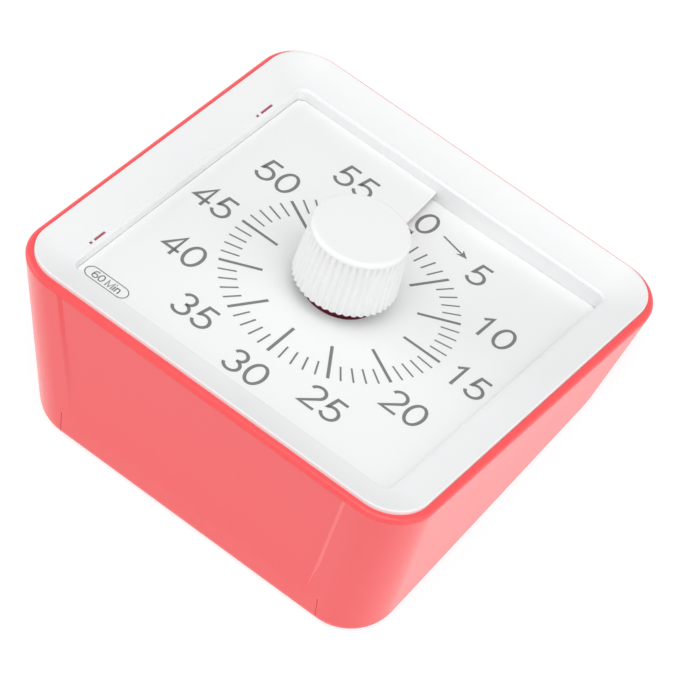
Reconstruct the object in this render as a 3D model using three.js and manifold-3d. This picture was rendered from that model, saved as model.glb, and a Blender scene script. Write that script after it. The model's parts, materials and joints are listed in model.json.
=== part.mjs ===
// Visual countdown timer: a wedge-shaped case with a dished bezel, a split dial plate and a helical disc.
// Millimetres, +Z up. The timer lies on its back, which is the plane z = 0.
// The dial frame has x to the right, y up the dial and z out of it, with z = 0 at the bezel's front edge.
import * as THREE from 'three';
import { mergeVertices } from 'three/addons/utils/BufferGeometryUtils.js';
import Module from 'manifold-3d';

const wasm = await Module();
wasm.setup();

// Clearances and shared values
const fit = 0.3;
const overrun = 1;
const roundSteps = 16;
const fineSteps = 40;

// Case: a square rim, leaning walls and a flat back tilted to the dial
const rimHalf = 42.3;
const rimCorner = 9.2;
const rimRound = 0.85;
const rimDepth = 1.6;
const sideDraftAngle = 6.4;
const baseLeanAngle = 15.6;
const topLeanAngle = 16.7;
const topCornerGrowthShare = 0.13;
const backTiltAngle = 22.5;
const backRoom = 9.6;
const topRoom = 6.4;
const backRound = 2.2;
const caseWall = 2.2;
const cornerSteps = 6;
const roundingSteps = 3;
const panelTopMargin = 11.6;
const panelFootMargin = 15.8;
const panelTopHalf = rimHalf - panelTopMargin;
const panelFootHalf = rimHalf - panelFootMargin;
const panelTopDepth = 3.2;
const panelFootDepth = 33.4;
const panelSink = 0.3;

// Pocket and flange that hold the bezel
const pocketLip = 1.3;
const pocketHalf = rimHalf - pocketLip;
const pocketCorner = rimCorner - pocketLip;
const pocketDepth = 3.3;
const flangeWidth = 2.2;
const flangeHalf = pocketHalf - flangeWidth;
const flangeCorner = pocketCorner - flangeWidth;
const flangeThick = 2.2;

// Back cover, its seat and the battery door
const coverSink = 0.3;
const coverThick = 2;
const coverMargin = 9.3;
const coverHalf = rimHalf - coverMargin;
const coverFoot = 3;
const coverTopMargin = 4.56;
const coverCorner = 5;
const seatWidth = 2.5;
const seatFootWidth = 1.6;
const seatThick = 1.5;
const doorMargin = 4.7;
const doorHalf = coverHalf - doorMargin;
const doorEnd = 23.7;
const doorThick = 1.7;
const lipRise = 7.76;
const lipThick = 1.9;
const lugReach = 1;
const lugThick = 0.6;
const lugStart = 15;
const lugLength = 6.5;
const grooveSkin = 0.8;
const grooveFoot = 3.4;

// Cover screws and their bosses in the case
const coverScrewMargin = 3.8;
const coverScrewTopMargin = 4.7;
const coverScrewLow = 28;
const bossRadius = 2.8;
const bossTop = 6.2;
const screwShank = 1.1;
const screwHead = 2.3;
const screwHeadThick = 1.2;
const screwSocket = 0.5;
const counterbore = 0.6;

// Bezel: window, ledge, dished face and skirt
const bezelHalf = pocketHalf - fit;
const bezelCorner = pocketCorner - fit;
const bezelWidth = 6.95;
const windowHalf = bezelHalf - bezelWidth;
const windowCorner = 1.6;
const windowDepth = 2.85;
const ledgeWidth = 0.55;
const ledgeDepth = 2.5;
const bezelEdge = 0.55;
const dishMidShare = 0.5;
const dishSag = 0.18;
const bezelWall = 1.2;
const bezelFoot = 8.9;
const hookMargin = 9.75;
const hookY = windowHalf - hookMargin;
const hookWidth = 5;
const hookThick = 1.1;
const hookLip = 1.1;
const hookReach = 0.73;
const blockSide = 5.2;
const slotWidth = 0.5;
const slotLength = 4.4;
const slotHighMargin = 10.65;
const slotLowMargin = 7.85;
const slotHighY = windowHalf - slotHighMargin;
const slotLowY = windowHalf - slotLowMargin;

// Dial plate: level all round but for the dip just past the slit
const plateLevel = 4.85;
const plateThick = 0.5;
const slitStep = 2.06;
const dipFadeAngle = 75;
const dipFadePower = 1.4;
const slitAngle = -4.7;
const slitLap = 3;
const plateHole = 6.8;
const plateSteps = 72;
const notchReach = 24.2;
const notchLeft = 4.2;
const notchRight = 0.5;

// Time disc: one turn of a helix that climbs through the slit
const discMargin = 2.25;
const discRadius = windowHalf - discMargin;
const discThick = 0.3;
const discLead = 3;
const discLevel = 5.9;
const discHide = 2;
const discSteps = 60;
const collarRadius = 4.4;
const collarBase = 8.9;
const collarHeight = 3.6;

// Knob: a tapered, ribbed, hollow cap
const knobBase = -1.8;
const knobTop = 10;
const knobFootRadius = 9.5;
const knobTaper = 0.9;
const knobTopRadius = knobFootRadius - knobTaper;
const knobRound = 0.9;
const knobBand = 0.9;
const ribCount = 44;
const ribDepth = 0.42;
const ribShares = [[0, 0], [0.3, 1], [0.7, 1]];
const knobSkirt = 1.6;
const knobRoof = 2;
const knobBoss = 4;
const spindleSocket = 4.2;

// Spindle
const spindleRadius = 2;
const spindleNeck = 1.4;
const spindlePivot = 0.5;
const spindleShoulder = 12.3;
const spindleNeckEnd = 14.5;

// Dial carrier
const carrierThick = 1.2;
const carrierCorner = 3;
const carrierHole = 4.5;
const carrierShank = 0.8;
const carrierHead = 1.7;
const carrierPilot = 3;

// Movement housing
const caseLow = -17;
const caseHigh = 12;
const caseDepth = 9.7;
const caseSkin = 1.2;
const lidThick = 1;
const bushRadius = 3.8;
const bushHeight = 1.4;
const earMargin = 3.3;
const earHalf = 3;
const earThick = 1.5;
const postRadius = 2.2;
const postHeight = 3;
const bearingRadius = 1.5;
const bearingHeight = 2;

// Wheel train: module, teeth and levels
const centreModule = 0.35;
const trainModule = 0.2;
const centreTeeth = 36;
const thirdPinionTeeth = 9;
const thirdTeeth = 64;
const secondPinionTeeth = 8;
const secondTeeth = 60;
const rotorPinionTeeth = 8;
const wheelThick = 0.7;
const pinionThick = 1.5;
const arborRadius = 0.4;
const centreWheelLevel = 13.5;
const thirdWheelLevel = 15;
const secondWheelLevel = 16.4;
const thirdBearing = 215;
const secondBearing = -36;
const rotorBearing = 10;
const magnetRadius = 2.2;
const magnetHeight = 1.6;
const addendumShare = 0.6;
const dedendumShare = 1.2;
const toothRootShare = 0.5;
const clutchReach = 3.4;
const clutchThick = 0.25;
const clutchLegs = 3;
const clutchLegWidth = 1.3;

// Stepper motor
const statorThick = 0.8;
const statorHalf = 4.4;
const statorLegWidth = 2.4;
const coilGap = 0.53;
const coilRadius = 2.4;
const coilRoom = 2.2;
const coilCore = 0.9;
const coilLength = 11;
const coilCheek = 0.8;

// Circuit board, crystal, buzzer and volume switch
const boardGap = 2;
const boardMargin = 1.75;
const boardLow = 5;
const boardHigh = 19;
const boardThick = 1.2;
const boardPost = 1.5;
const boardPostHeight = 2.5;
const crystalRadius = 1;
const crystalLength = 6;
const buzzerTopMargin = 12;
const buzzerRadius = 7;
const buzzerHeight = 4.4;
const buzzerPort = 1;
const buzzerRing = 0.9;
const buzzerRingHeight = 2.6;
const soundSlots = 5;
const soundSlotPitch = 2.4;
const soundSlotWidth = 1.1;
const soundSlotHalf = 5;
const switchSideMargin = 8.6;
const switchTopMargin = 24.7;
const switchHalfX = 5.6;
const switchHalfY = 3;
const switchHeight = 4.2;
const sliderHalfX = 1.7;
const sliderHalfY = 1.4;
const sliderTravel = 3;
const sliderSink = 0.7;
const switchChannel = 1.6;

// Battery and its contacts
const batteryRadius = 7.1;
const springSpace = 3.4;
const nubRadius = 2.75;
const nubLength = 1;
const batteryY = 13.5;
const batteryZ = 10.5;
const wellMargin = 5.6;
const wellHalf = coverHalf - wellMargin;
const wellWall = 1.2;
const contactThick = 0.3;
const contactHalf = 4;
const wireRadius = 0.3;
const springFoot = 4.9;
const springTip = 2.2;
const springTurns = 3;
const springSides = 5;
const springStepsPerTurn = 8;

const radians = THREE.MathUtils.degToRad;
const sideDraft = Math.tan(radians(sideDraftAngle));
const baseLean = Math.tan(radians(baseLeanAngle));
const topLean = Math.tan(radians(topLeanAngle));
const backSlope = Math.tan(radians(backTiltAngle));

// Levels of the inner pieces under the dial, and the back behind them
const carrierTop = -bezelFoot - fit;
const carrierFoot = carrierTop - carrierThick;
const housingTop = carrierFoot - fit;
const housingFoot = housingTop - caseDepth;
const lidTop = housingFoot - fit;
const carrierHalf = windowHalf + bezelWall;
const backUnderTop = carrierHalf * backSlope - carrierFoot + topRoom;
const backDepth = Math.max(lidThick - lidTop + backRoom, backUnderTop);

// Axes of the wheel train, and the housing round them
function axisFrom([x, y], distance, bearing) {
  return [x + distance * Math.cos(radians(bearing)), y + distance * Math.sin(radians(bearing))];
}

const pitchRadius = (teeth, module) => teeth * module / 2;
const thirdReach = pitchRadius(centreTeeth + thirdPinionTeeth, centreModule);
const secondReach = pitchRadius(thirdTeeth + secondPinionTeeth, trainModule);
const rotorReach = pitchRadius(secondTeeth + rotorPinionTeeth, trainModule);
const thirdAxis = axisFrom([0, 0], thirdReach, thirdBearing);
const secondAxis = axisFrom(thirdAxis, secondReach, secondBearing);
const rotorAxis = axisFrom(secondAxis, rotorReach, rotorBearing);

const coilX = rotorAxis[0] + statorHalf + coilGap + coilRadius;
const caseHalfX = coilX + coilRadius + coilRoom;
const earX = caseHalfX + earMargin;
const boardLeft = caseHalfX + boardGap;
const boardRight = windowHalf - boardMargin;

// Solids from closed geometries, and back
function toSolid(geometry) {
  const bare = geometry.clone();
  bare.deleteAttribute('normal');
  bare.deleteAttribute('uv');
  const merged = mergeVertices(bare);
  const corners = merged.attributes.position;
  const index = Uint32Array.from(merged.index.array);
  const [a, b, c] = [new THREE.Vector3(), new THREE.Vector3(), new THREE.Vector3()];
  let volume = 0;
  for (let i = 0; i < index.length; i += 3) {
    a.fromBufferAttribute(corners, index[i]);
    b.fromBufferAttribute(corners, index[i + 1]);
    c.fromBufferAttribute(corners, index[i + 2]);
    volume += a.dot(b.cross(c));
  }
  if (volume < 0) index.reverse();
  return new wasm.Manifold(new wasm.Mesh({ numProp: 3, vertProperties: corners.array, triVerts: index }));
}

function toGeometry(solid) {
  const mesh = solid.getMesh();
  const geometry = new THREE.BufferGeometry();
  geometry.setAttribute('position', new THREE.BufferAttribute(mesh.vertProperties, 3));
  geometry.setIndex(new THREE.BufferAttribute(mesh.triVerts, 1));
  geometry.computeVertexNormals();
  return geometry;
}

function block(left, right, low, high, bottom, top) {
  const box = new THREE.BoxGeometry(right - left, high - low, top - bottom);
  return toSolid(box.translate((left + right) / 2, (low + high) / 2, (bottom + top) / 2));
}

function rod(radius, bottom, top, x = 0, y = 0, steps = roundSteps) {
  const cylinder = new THREE.CylinderGeometry(radius, radius, top - bottom, steps);
  return toSolid(cylinder.rotateX(Math.PI / 2).translate(x, y, (bottom + top) / 2));
}

function rodAlongX(radius, left, right, y, z, steps = roundSteps) {
  const cylinder = new THREE.CylinderGeometry(radius, radius, right - left, steps);
  return toSolid(cylinder.rotateZ(Math.PI / 2).translate((left + right) / 2, y, z));
}

function prism(outline, bottom, top) {
  const options = { depth: top - bottom, bevelEnabled: false, curveSegments: cornerSteps };
  return toSolid(new THREE.ExtrudeGeometry(outline, options).translate(0, 0, bottom));
}

// An outline in (y, z) swept along x
function sweepAlongX(outline, left, right) {
  const options = { depth: right - left, bevelEnabled: false, curveSegments: cornerSteps };
  const extruded = new THREE.ExtrudeGeometry(outline, options).translate(0, 0, left);
  const turn = new THREE.Matrix4().makeBasis(
    new THREE.Vector3(0, 1, 0),
    new THREE.Vector3(0, 0, 1),
    new THREE.Vector3(1, 0, 0),
  );
  return toSolid(extruded.applyMatrix4(turn));
}

function revolve(profile, steps = roundSteps) {
  const points = profile.map(([radius, z]) => new THREE.Vector2(radius, z));
  return toSolid(new THREE.LatheGeometry([...points, points[0]], steps).rotateX(Math.PI / 2));
}

function polygon(points) {
  return new THREE.Shape(points.map(([x, y]) => new THREE.Vector2(x, y)));
}

function roundedOutline(left, right, low, high, radius) {
  const shape = new THREE.Shape();
  shape.absarc(right - radius, high - radius, radius, 0, Math.PI / 2);
  shape.absarc(left + radius, high - radius, radius, Math.PI / 2, Math.PI);
  shape.absarc(left + radius, low + radius, radius, Math.PI, 3 * Math.PI / 2);
  shape.absarc(right - radius, low + radius, radius, 3 * Math.PI / 2, 2 * Math.PI);
  return shape;
}

function centredOutline(halfX, halfY, radius) {
  return roundedOutline(-halfX, halfX, -halfY, halfY, radius);
}

// Rings of equal count joined band by band, with capped ends or closed on themselves
function loft(rings, closed = false) {
  const count = rings[0].length;
  const points = rings.flat();
  const index = [];
  const bands = closed ? rings.length : rings.length - 1;
  for (let band = 0; band < bands; band++) {
    const here = band * count;
    const next = ((band + 1) % rings.length) * count;
    for (let i = 0; i < count; i++) {
      const j = (i + 1) % count;
      index.push(here + i, here + j, next + j, here + i, next + j, next + i);
    }
  }
  if (!closed) {
    for (const [ring, start] of [[rings[0], 0], [rings.at(-1), (rings.length - 1) * count]]) {
      const middle = ring.reduce((sum, point) => sum.add(point), new THREE.Vector3()).divideScalar(count);
      const hub = points.push(middle) - 1;
      for (let i = 0; i < count; i++) {
        const j = (i + 1) % count;
        index.push(...(start === 0 ? [hub, start + j, start + i] : [hub, start + i, start + j]));
      }
    }
  }
  const geometry = new THREE.BufferGeometry().setFromPoints(points);
  return toSolid(geometry.setIndex(index));
}

function frameRing(half, radius, z) {
  const ring = [];
  for (let corner = 0; corner < 4; corner++) {
    const sideX = corner === 0 || corner === 3 ? 1 : -1;
    const sideY = corner < 2 ? 1 : -1;
    for (let step = 0; step <= cornerSteps; step++) {
      const angle = (corner + step / cornerSteps) * Math.PI / 2;
      const x = sideX * (half - radius) + radius * Math.cos(angle);
      const y = sideY * (half - radius) + radius * Math.sin(angle);
      ring.push(new THREE.Vector3(x, y, z));
    }
  }
  return ring;
}

// The case walls are ruled: each point of the rim runs along a straight line to the back
function wallPoint(corner, angle, depth, inset) {
  const drop = depth - rimDepth;
  const sideX = corner === 0 || corner === 3 ? 1 : -1;
  const atTop = corner < 2;
  const radius = rimCorner + (atTop ? topCornerGrowthShare * drop : 0);
  const reach = rimHalf - (atTop ? topLean : baseLean) * drop;
  const x = sideX * (rimHalf - sideDraft * drop - radius) + (radius - inset) * Math.cos(angle);
  const y = (atTop ? 1 : -1) * (reach - radius) + (radius - inset) * Math.sin(angle);
  return new THREE.Vector3(x, y, -depth);
}

function backCrossing(corner, angle, inset) {
  const start = wallPoint(corner, angle, 0, inset);
  const run = wallPoint(corner, angle, backDepth, inset).sub(start);
  return backDepth * (backDepth - backSlope * start.y) / (backDepth + backSlope * run.y);
}

function caseRing(pointAt) {
  const ring = [];
  for (let corner = 0; corner < 4; corner++) {
    for (let step = 0; step <= cornerSteps; step++) {
      ring.push(pointAt(corner, (corner + step / cornerSteps) * Math.PI / 2));
    }
  }
  return ring;
}

function rimRing(turn) {
  const inset = rimRound * (1 - Math.cos(turn));
  return caseRing((corner, angle) => {
    const point = wallPoint(corner, angle, rimDepth, inset);
    return point.setZ(-rimDepth + rimRound * Math.sin(turn));
  });
}

function backEdgeRing(share) {
  return caseRing((corner, angle) => {
    const depth = backCrossing(corner, angle, 0);
    const edge = wallPoint(corner, angle, depth, 0);
    const upWall = wallPoint(corner, angle, 0, 0).sub(edge).normalize();
    const [across, up] = [-Math.cos(angle), -Math.sin(angle)];
    const inPlane = new THREE.Vector3(across, up, up * backSlope).normalize();
    const tangent = backRound / Math.tan(upWall.angleTo(inPlane) / 2);
    const curve = new THREE.QuadraticBezierCurve3(
      edge.clone().addScaledVector(upWall, tangent),
      edge,
      edge.clone().addScaledVector(inPlane, tangent),
    );
    return curve.getPoint(share);
  });
}

// The dial frame stands on the back plane, with the case's base edge on the y = 0 line
const baseCorner = 3;
const baseward = -Math.PI / 2;
const baseEdgeDepth = backCrossing(baseCorner, baseward, 0);
const baseEdge = wallPoint(baseCorner, baseward, baseEdgeDepth, 0).setX(0);
const dialTurn = new THREE.Matrix4().makeRotationX(-radians(backTiltAngle));
const dialToBack = dialTurn.clone().setPosition(baseEdge.clone().applyMatrix4(dialTurn).negate());
const wallSlope = (() => {
  const upper = wallPoint(baseCorner, baseward, rimDepth, 0).setX(0).applyMatrix4(dialToBack);
  return upper.y / upper.z;
})();

function inBackFrame(solid) {
  return toSolid(toGeometry(solid).applyMatrix4(dialToBack));
}

function outerForm() {
  const rings = [];
  for (let step = roundingSteps; step >= 0; step--) rings.push(rimRing(step / roundingSteps * Math.PI / 2));
  for (let step = 0; step <= roundingSteps; step++) rings.push(backEdgeRing(step / roundingSteps));
  return inBackFrame(loft(rings));
}

// Heights above the back plane and places along it that several pieces share
const coverFace = coverSink;
const coverInside = coverFace + coverThick;
const seatFace = coverInside + fit;
const seatInside = seatFace + seatThick;
const backTop = wallPoint(0, Math.PI / 2, backCrossing(0, Math.PI / 2, 0), 0).applyMatrix4(dialToBack).y;
const coverTop = backTop - coverTopMargin;
const buzzerY = coverTop - buzzerTopMargin;
const switchX = coverHalf - switchSideMargin;
const switchY = coverTop - switchTopMargin;
const openingHalf = coverHalf - seatWidth;
const openingFoot = coverFoot + seatFootWidth;
const openingTop = coverTop - seatWidth;
const doorGap = doorHalf + fit;
const wellOuter = batteryRadius + fit + wellWall;
const farAway = rimHalf * 2;
const coverScrewX = coverHalf - coverScrewMargin;
const coverScrewHigh = coverTop - coverScrewTopMargin;
const coverScrews = [
  [-coverScrewX, coverScrewLow],
  [coverScrewX, coverScrewLow],
  [-coverScrewX, coverScrewHigh],
  [coverScrewX, coverScrewHigh],
];

function makeCase() {
  const flangeFoot = pocketDepth + flangeThick;
  const hollowRings = [
    caseRing((corner, angle) => wallPoint(corner, angle, flangeFoot, caseWall)),
    caseRing((corner, angle) => wallPoint(corner, angle, backCrossing(corner, angle, caseWall), caseWall)),
  ];
  const hollow = inBackFrame(loft(hollowRings)).intersect(
    block(-farAway, farAway, -farAway, farAway, seatInside, farAway),
  );
  const pocketOutline = centredOutline(pocketHalf, pocketHalf, pocketCorner);
  const mouthOutline = centredOutline(flangeHalf, flangeHalf, flangeCorner);
  const pocket = inBackFrame(prism(pocketOutline, -pocketDepth, overrun));
  const mouth = inBackFrame(prism(mouthOutline, -flangeFoot - overrun, overrun - pocketDepth));
  const recess = prism(
    roundedOutline(-coverHalf - fit, coverHalf + fit, coverFoot - fit, coverTop + fit, coverCorner + fit),
    -overrun,
    seatFace,
  );
  const opening = prism(
    roundedOutline(-openingHalf, openingHalf, openingFoot, openingTop, coverCorner - seatWidth),
    0,
    seatInside + overrun,
  );
  const notch = block(-doorGap, doorGap, -farAway, openingFoot + overrun, -overrun, lipRise + fit);
  let solid = outerForm();
  for (const cut of [hollow, pocket, mouth, recess, opening, notch, basePanel()]) solid = solid.subtract(cut);
  for (const [x, y] of coverScrews) {
    solid = solid.add(rod(bossRadius, seatFace, bossTop, x, y));
    solid = solid.subtract(rod(screwShank + fit, seatFace - overrun, bossTop - screwSocket, x, y));
  }
  return solid;
}

// A shallow panel in the base wall, narrower towards the back
function basePanel() {
  const lean = radians(baseLeanAngle);
  const outline = polygon([
    [-panelTopHalf, 0],
    [-panelFootHalf, panelTopDepth - panelFootDepth],
    [panelFootHalf, panelTopDepth - panelFootDepth],
    [panelTopHalf, 0],
  ]);
  const slab = new THREE.ExtrudeGeometry(outline, { depth: panelSink + overrun, bevelEnabled: false });
  slab.translate(0, 0, -overrun);
  slab.applyMatrix4(new THREE.Matrix4().makeBasis(
    new THREE.Vector3(1, 0, 0),
    new THREE.Vector3(0, -Math.tan(lean), 1),
    new THREE.Vector3(0, Math.cos(lean), Math.sin(lean)),
  ));
  const seat = wallPoint(3, 3 * Math.PI / 2, panelTopDepth, 0);
  return inBackFrame(toSolid(slab.translate(0, seat.y, seat.z)));
}

// Dial plate height, clockwise from the slit
function plateTop(angle) {
  const turned = THREE.MathUtils.euclideanModulo(angle - slitAngle, 360) + slitAngle;
  return -plateLevel - dipAt(turned);
}

function dipAt(angle) {
  return slitStep * Math.exp(-Math.pow(Math.max(angle, 0) / dipFadeAngle, dipFadePower));
}

function clockPoint(radius, angle, z) {
  return new THREE.Vector3(radius * Math.sin(radians(angle)), radius * Math.cos(radians(angle)), z);
}

function clockAngle(x, y) {
  return THREE.MathUtils.radToDeg(Math.atan2(x, y));
}

function makeDialPlate() {
  const start = slitAngle - slitLap;
  const sections = [];
  for (let step = 0; step <= plateSteps; step++) {
    const angle = start + (360 + slitLap) * step / plateSteps;
    const top = -plateLevel - dipAt(angle);
    sections.push([
      clockPoint(plateHole, angle, top),
      clockPoint(farAway, angle, top),
      clockPoint(farAway, angle, top - plateThick),
      clockPoint(plateHole, angle, top - plateThick),
    ]);
  }
  const outline = centredOutline(windowHalf - fit, windowHalf - fit, windowCorner - fit);
  const low = -plateLevel - slitStep - plateThick - overrun;
  const notchTop = -plateLevel - slitStep / 2;
  return loft(sections)
    .intersect(prism(outline, low, 0))
    .subtract(block(-notchLeft, -notchRight, 0, notchReach, low, notchTop));
}

function makeTimeDisc() {
  const root = (spindleRadius + fit + collarRadius) / 2;
  const sections = [];
  for (let step = 0; step <= discSteps; step++) {
    const angle = slitAngle - discHide + 360 * step / discSteps;
    const bottom = -discLevel - discLead + discLead * angle / 360;
    sections.push([
      clockPoint(root, angle, bottom),
      clockPoint(discRadius, angle, bottom),
      clockPoint(discRadius, angle, bottom + discThick),
      clockPoint(root, angle, bottom + discThick),
    ]);
  }
  const collar = rod(collarRadius, -collarBase, collarHeight - collarBase);
  const bore = rod(spindleRadius + fit, -collarBase - overrun, collarHeight - collarBase + overrun);
  return loft(sections).add(collar).subtract(bore);
}

const blockPlace = windowHalf - blockSide / 2;
const frameCorners = [[1, 1], [-1, 1], [-1, -1], [1, -1]];

function makeBezel() {
  const dishOuter = bezelHalf - bezelEdge;
  const ledge = windowHalf + ledgeWidth;
  const ledgeCorner = windowCorner + ledgeWidth;
  const dish = THREE.MathUtils.lerp(ledge, dishOuter, dishMidShare);
  const outerCorner = bezelCorner - bezelEdge;
  const dishCorner = THREE.MathUtils.lerp(ledgeCorner, outerCorner, dishMidShare);
  const softEdge = bezelEdge * Math.SQRT1_2;
  const skirtFoot = -pocketDepth + fit;
  const wall = windowHalf + bezelWall;
  const rings = [
    frameRing(windowHalf, windowCorner, -bezelFoot),
    frameRing(windowHalf, windowCorner, -windowDepth),
    frameRing(ledge, ledgeCorner, -ledgeDepth),
    frameRing(dish, dishCorner, -ledgeDepth * (1 - dishMidShare) - dishSag),
    frameRing(dishOuter, outerCorner, 0),
    frameRing(dishOuter + softEdge, outerCorner + softEdge, softEdge - bezelEdge),
    frameRing(bezelHalf, bezelCorner, -bezelEdge),
    frameRing(bezelHalf, bezelCorner, skirtFoot),
    frameRing(flangeHalf - fit, flangeCorner - fit, skirtFoot),
    frameRing(wall + bezelWall, windowCorner + bezelWall * 2, skirtFoot),
    frameRing(wall, windowCorner + bezelWall, skirtFoot - bezelWall),
    frameRing(wall, windowCorner + bezelWall, -bezelFoot),
  ];
  let solid = loft(rings, true);
  const hookRoot = flangeHalf - fit - hookThick;
  const lipTop = -pocketDepth - flangeThick - fit;
  for (const side of [-1, 1]) {
    for (const y of [-hookY, hookY]) {
      const arm = [hookRoot, flangeHalf - fit].map((x) => side * x).sort((a, b) => a - b);
      const lip = [hookRoot, flangeHalf - fit + hookReach].map((x) => side * x).sort((a, b) => a - b);
      const [low, high] = [y - hookWidth / 2, y + hookWidth / 2];
      solid = solid.add(block(...arm, low, high, lipTop - hookLip, skirtFoot + fit));
      solid = solid.add(block(...lip, y - hookWidth / 2, y + hookWidth / 2, lipTop - hookLip, lipTop));
    }
  }
  for (const [sideX, sideY] of frameCorners) solid = solid.add(cornerBlock(sideX, sideY));
  for (const [sideX, sideY] of frameCorners) {
    const pilotTop = -bezelFoot + carrierPilot;
    const [x, y] = [sideX * blockPlace, sideY * blockPlace];
    solid = solid.subtract(rod(carrierShank + fit, -bezelFoot - overrun, pilotTop - fit, x, y));
  }
  for (const y of [slotHighY, -slotLowY]) {
    const [low, high] = [y - slotLength / 2, y + slotLength / 2];
    solid = solid.subtract(block(-ledge, -ledge + slotWidth, low, high, -bezelFoot / 2, overrun));
  }
  return solid;
}

// A block in the window's corner, as high as the dial plate above it allows
function cornerBlock(sideX, sideY) {
  const [near, far] = [windowHalf - blockSide, windowHalf + bezelWall / 2];
  const corners = [[near, near], [near, far], [far, near], [far, far]];
  const seats = corners.map(([x, y]) => plateTop(clockAngle(sideX * x, sideY * y)) - plateThick);
  const top = Math.min(...seats) - fit;
  const [left, right] = [sideX * near, sideX * far].sort((a, b) => a - b);
  const [low, high] = [sideY * near, sideY * far].sort((a, b) => a - b);
  return block(left, right, low, high, -bezelFoot, top);
}

function knobRing(radius, rib, z) {
  const ring = [];
  for (let tooth = 0; tooth < ribCount; tooth++) {
    for (const [turnShare, heightShare] of ribShares) {
      const angle = (tooth + turnShare) / ribCount * 2 * Math.PI;
      const reach = radius - rib * (1 - heightShare);
      ring.push(new THREE.Vector3(reach * Math.cos(angle), reach * Math.sin(angle), z));
    }
  }
  return ring;
}

function makeKnob() {
  const bandFoot = knobTop - knobRound - knobBand;
  const slope = (knobFootRadius - knobTopRadius) / (knobTop - knobRound - knobBase);
  const radiusAt = (z) => knobFootRadius - slope * (z - knobBase);
  const ribTopDepth = ribDepth / 2;
  const rings = [
    knobRing(knobFootRadius, ribDepth, knobBase),
    knobRing(radiusAt(bandFoot), ribTopDepth, bandFoot),
    knobRing(radiusAt(bandFoot + knobBand / 2), 0, bandFoot + knobBand / 2),
  ];
  for (let step = 0; step <= roundingSteps; step++) {
    const turn = step / roundingSteps * Math.PI / 2;
    const radius = knobTopRadius - knobRound * (1 - Math.cos(turn));
    rings.push(knobRing(radius, 0, knobTop - knobRound + knobRound * Math.sin(turn)));
  }
  const cavity = knobFootRadius - knobSkirt;
  const roof = knobTop - knobRoof;
  const hollow = rod(cavity, knobBase - overrun, roof, 0, 0, fineSteps);
  const boss = rod(knobBoss, knobBase, roof + overrun / 2);
  const socket = rod(spindleRadius + fit, knobBase - overrun, spindleSocket + fit);
  return loft(rings).subtract(hollow).add(boss).subtract(socket);
}

function makeSpindle() {
  const pivotEnd = lidTop + fit;
  return revolve([
    [0, spindleSocket],
    [0, pivotEnd],
    [spindlePivot, pivotEnd],
    [spindlePivot, -spindleNeckEnd],
    [spindleNeck, -spindleNeckEnd],
    [spindleNeck, -spindleShoulder],
    [spindleRadius, -spindleShoulder],
    [spindleRadius, spindleSocket],
  ]);
}

function makeCarrier() {
  const outline = centredOutline(carrierHalf, carrierHalf, carrierCorner);
  let solid = prism(outline, carrierFoot, carrierTop);
  for (const side of [-1, 1]) {
    const postTop = carrierTop - carrierThick / 2;
    solid = solid.add(rod(postRadius, carrierFoot - postHeight, postTop, side * earX, 0));
  }
  for (const y of [boardLow + boardPost * 2, boardHigh - boardPost * 2]) {
    const x = (boardLeft + boardRight) / 2;
    solid = solid.add(rod(boardPost, carrierFoot - boardPostHeight, carrierTop - carrierThick / 2, x, y));
  }
  for (const side of [-1, 1]) {
    const pilot = rod(carrierShank + fit, carrierFoot - postHeight - overrun, carrierFoot, side * earX, 0);
    solid = solid.subtract(pilot);
  }
  for (const [sideX, sideY] of frameCorners) {
    const [x, y] = [sideX * blockPlace, sideY * blockPlace];
    const hole = rod(carrierShank + fit, carrierFoot - overrun, carrierTop + overrun, x, y);
    solid = solid.subtract(hole);
  }
  return solid.subtract(rod(carrierHole, carrierFoot - overrun, carrierTop + overrun));
}

function smallScrew(x, y, headTop, reach) {
  const head = rod(carrierHead, headTop - screwHeadThick, headTop, x, y);
  return head.add(rod(carrierShank, headTop - screwHeadThick / 2, headTop + reach, x, y));
}

const earTop = carrierFoot - postHeight - fit;

function makeHousing() {
  const skin = caseSkin;
  const outer = block(-caseHalfX, caseHalfX, caseLow, caseHigh, housingFoot, housingTop);
  const inner = block(
    -caseHalfX + skin,
    caseHalfX - skin,
    caseLow + skin,
    caseHigh - skin,
    housingFoot - overrun,
    housingTop - skin,
  );
  let solid = outer.subtract(inner).add(rod(bushRadius, housingTop - skin, housingTop + bushHeight));
  for (const side of [-1, 1]) {
    const [left, right] = [side * (caseHalfX - skin), side * (earX + earHalf)].sort((a, b) => a - b);
    solid = solid.add(block(left, right, -earHalf, earHalf, earTop - earThick, earTop));
  }
  for (const side of [-1, 1]) {
    const hole = rod(carrierShank + fit, earTop - earThick - overrun, earTop + overrun, side * earX, 0);
    solid = solid.subtract(hole);
  }
  const bushTop = housingTop + bushHeight;
  solid = solid.subtract(rod(spindleRadius + fit, housingTop - skin - overrun, bushTop + overrun));
  for (const [x, y] of [thirdAxis, secondAxis, rotorAxis]) {
    solid = solid.subtract(rod(arborRadius + fit, housingTop - skin - overrun, housingTop - skin / 2, x, y));
  }
  return solid;
}

function makeLid() {
  const plate = block(-caseHalfX, caseHalfX, caseLow, caseHigh, lidTop - lidThick, lidTop);
  let solid = plate.add(rod(bearingRadius, lidTop - lidThick / 2, lidTop + bearingHeight));
  solid = solid.subtract(rod(spindlePivot + fit, lidTop, lidTop + bearingHeight + overrun));
  for (const [x, y] of [thirdAxis, secondAxis, rotorAxis]) {
    solid = solid.subtract(rod(arborRadius + fit, lidTop - lidThick / 2, lidTop + overrun, x, y));
  }
  return solid;
}

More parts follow.
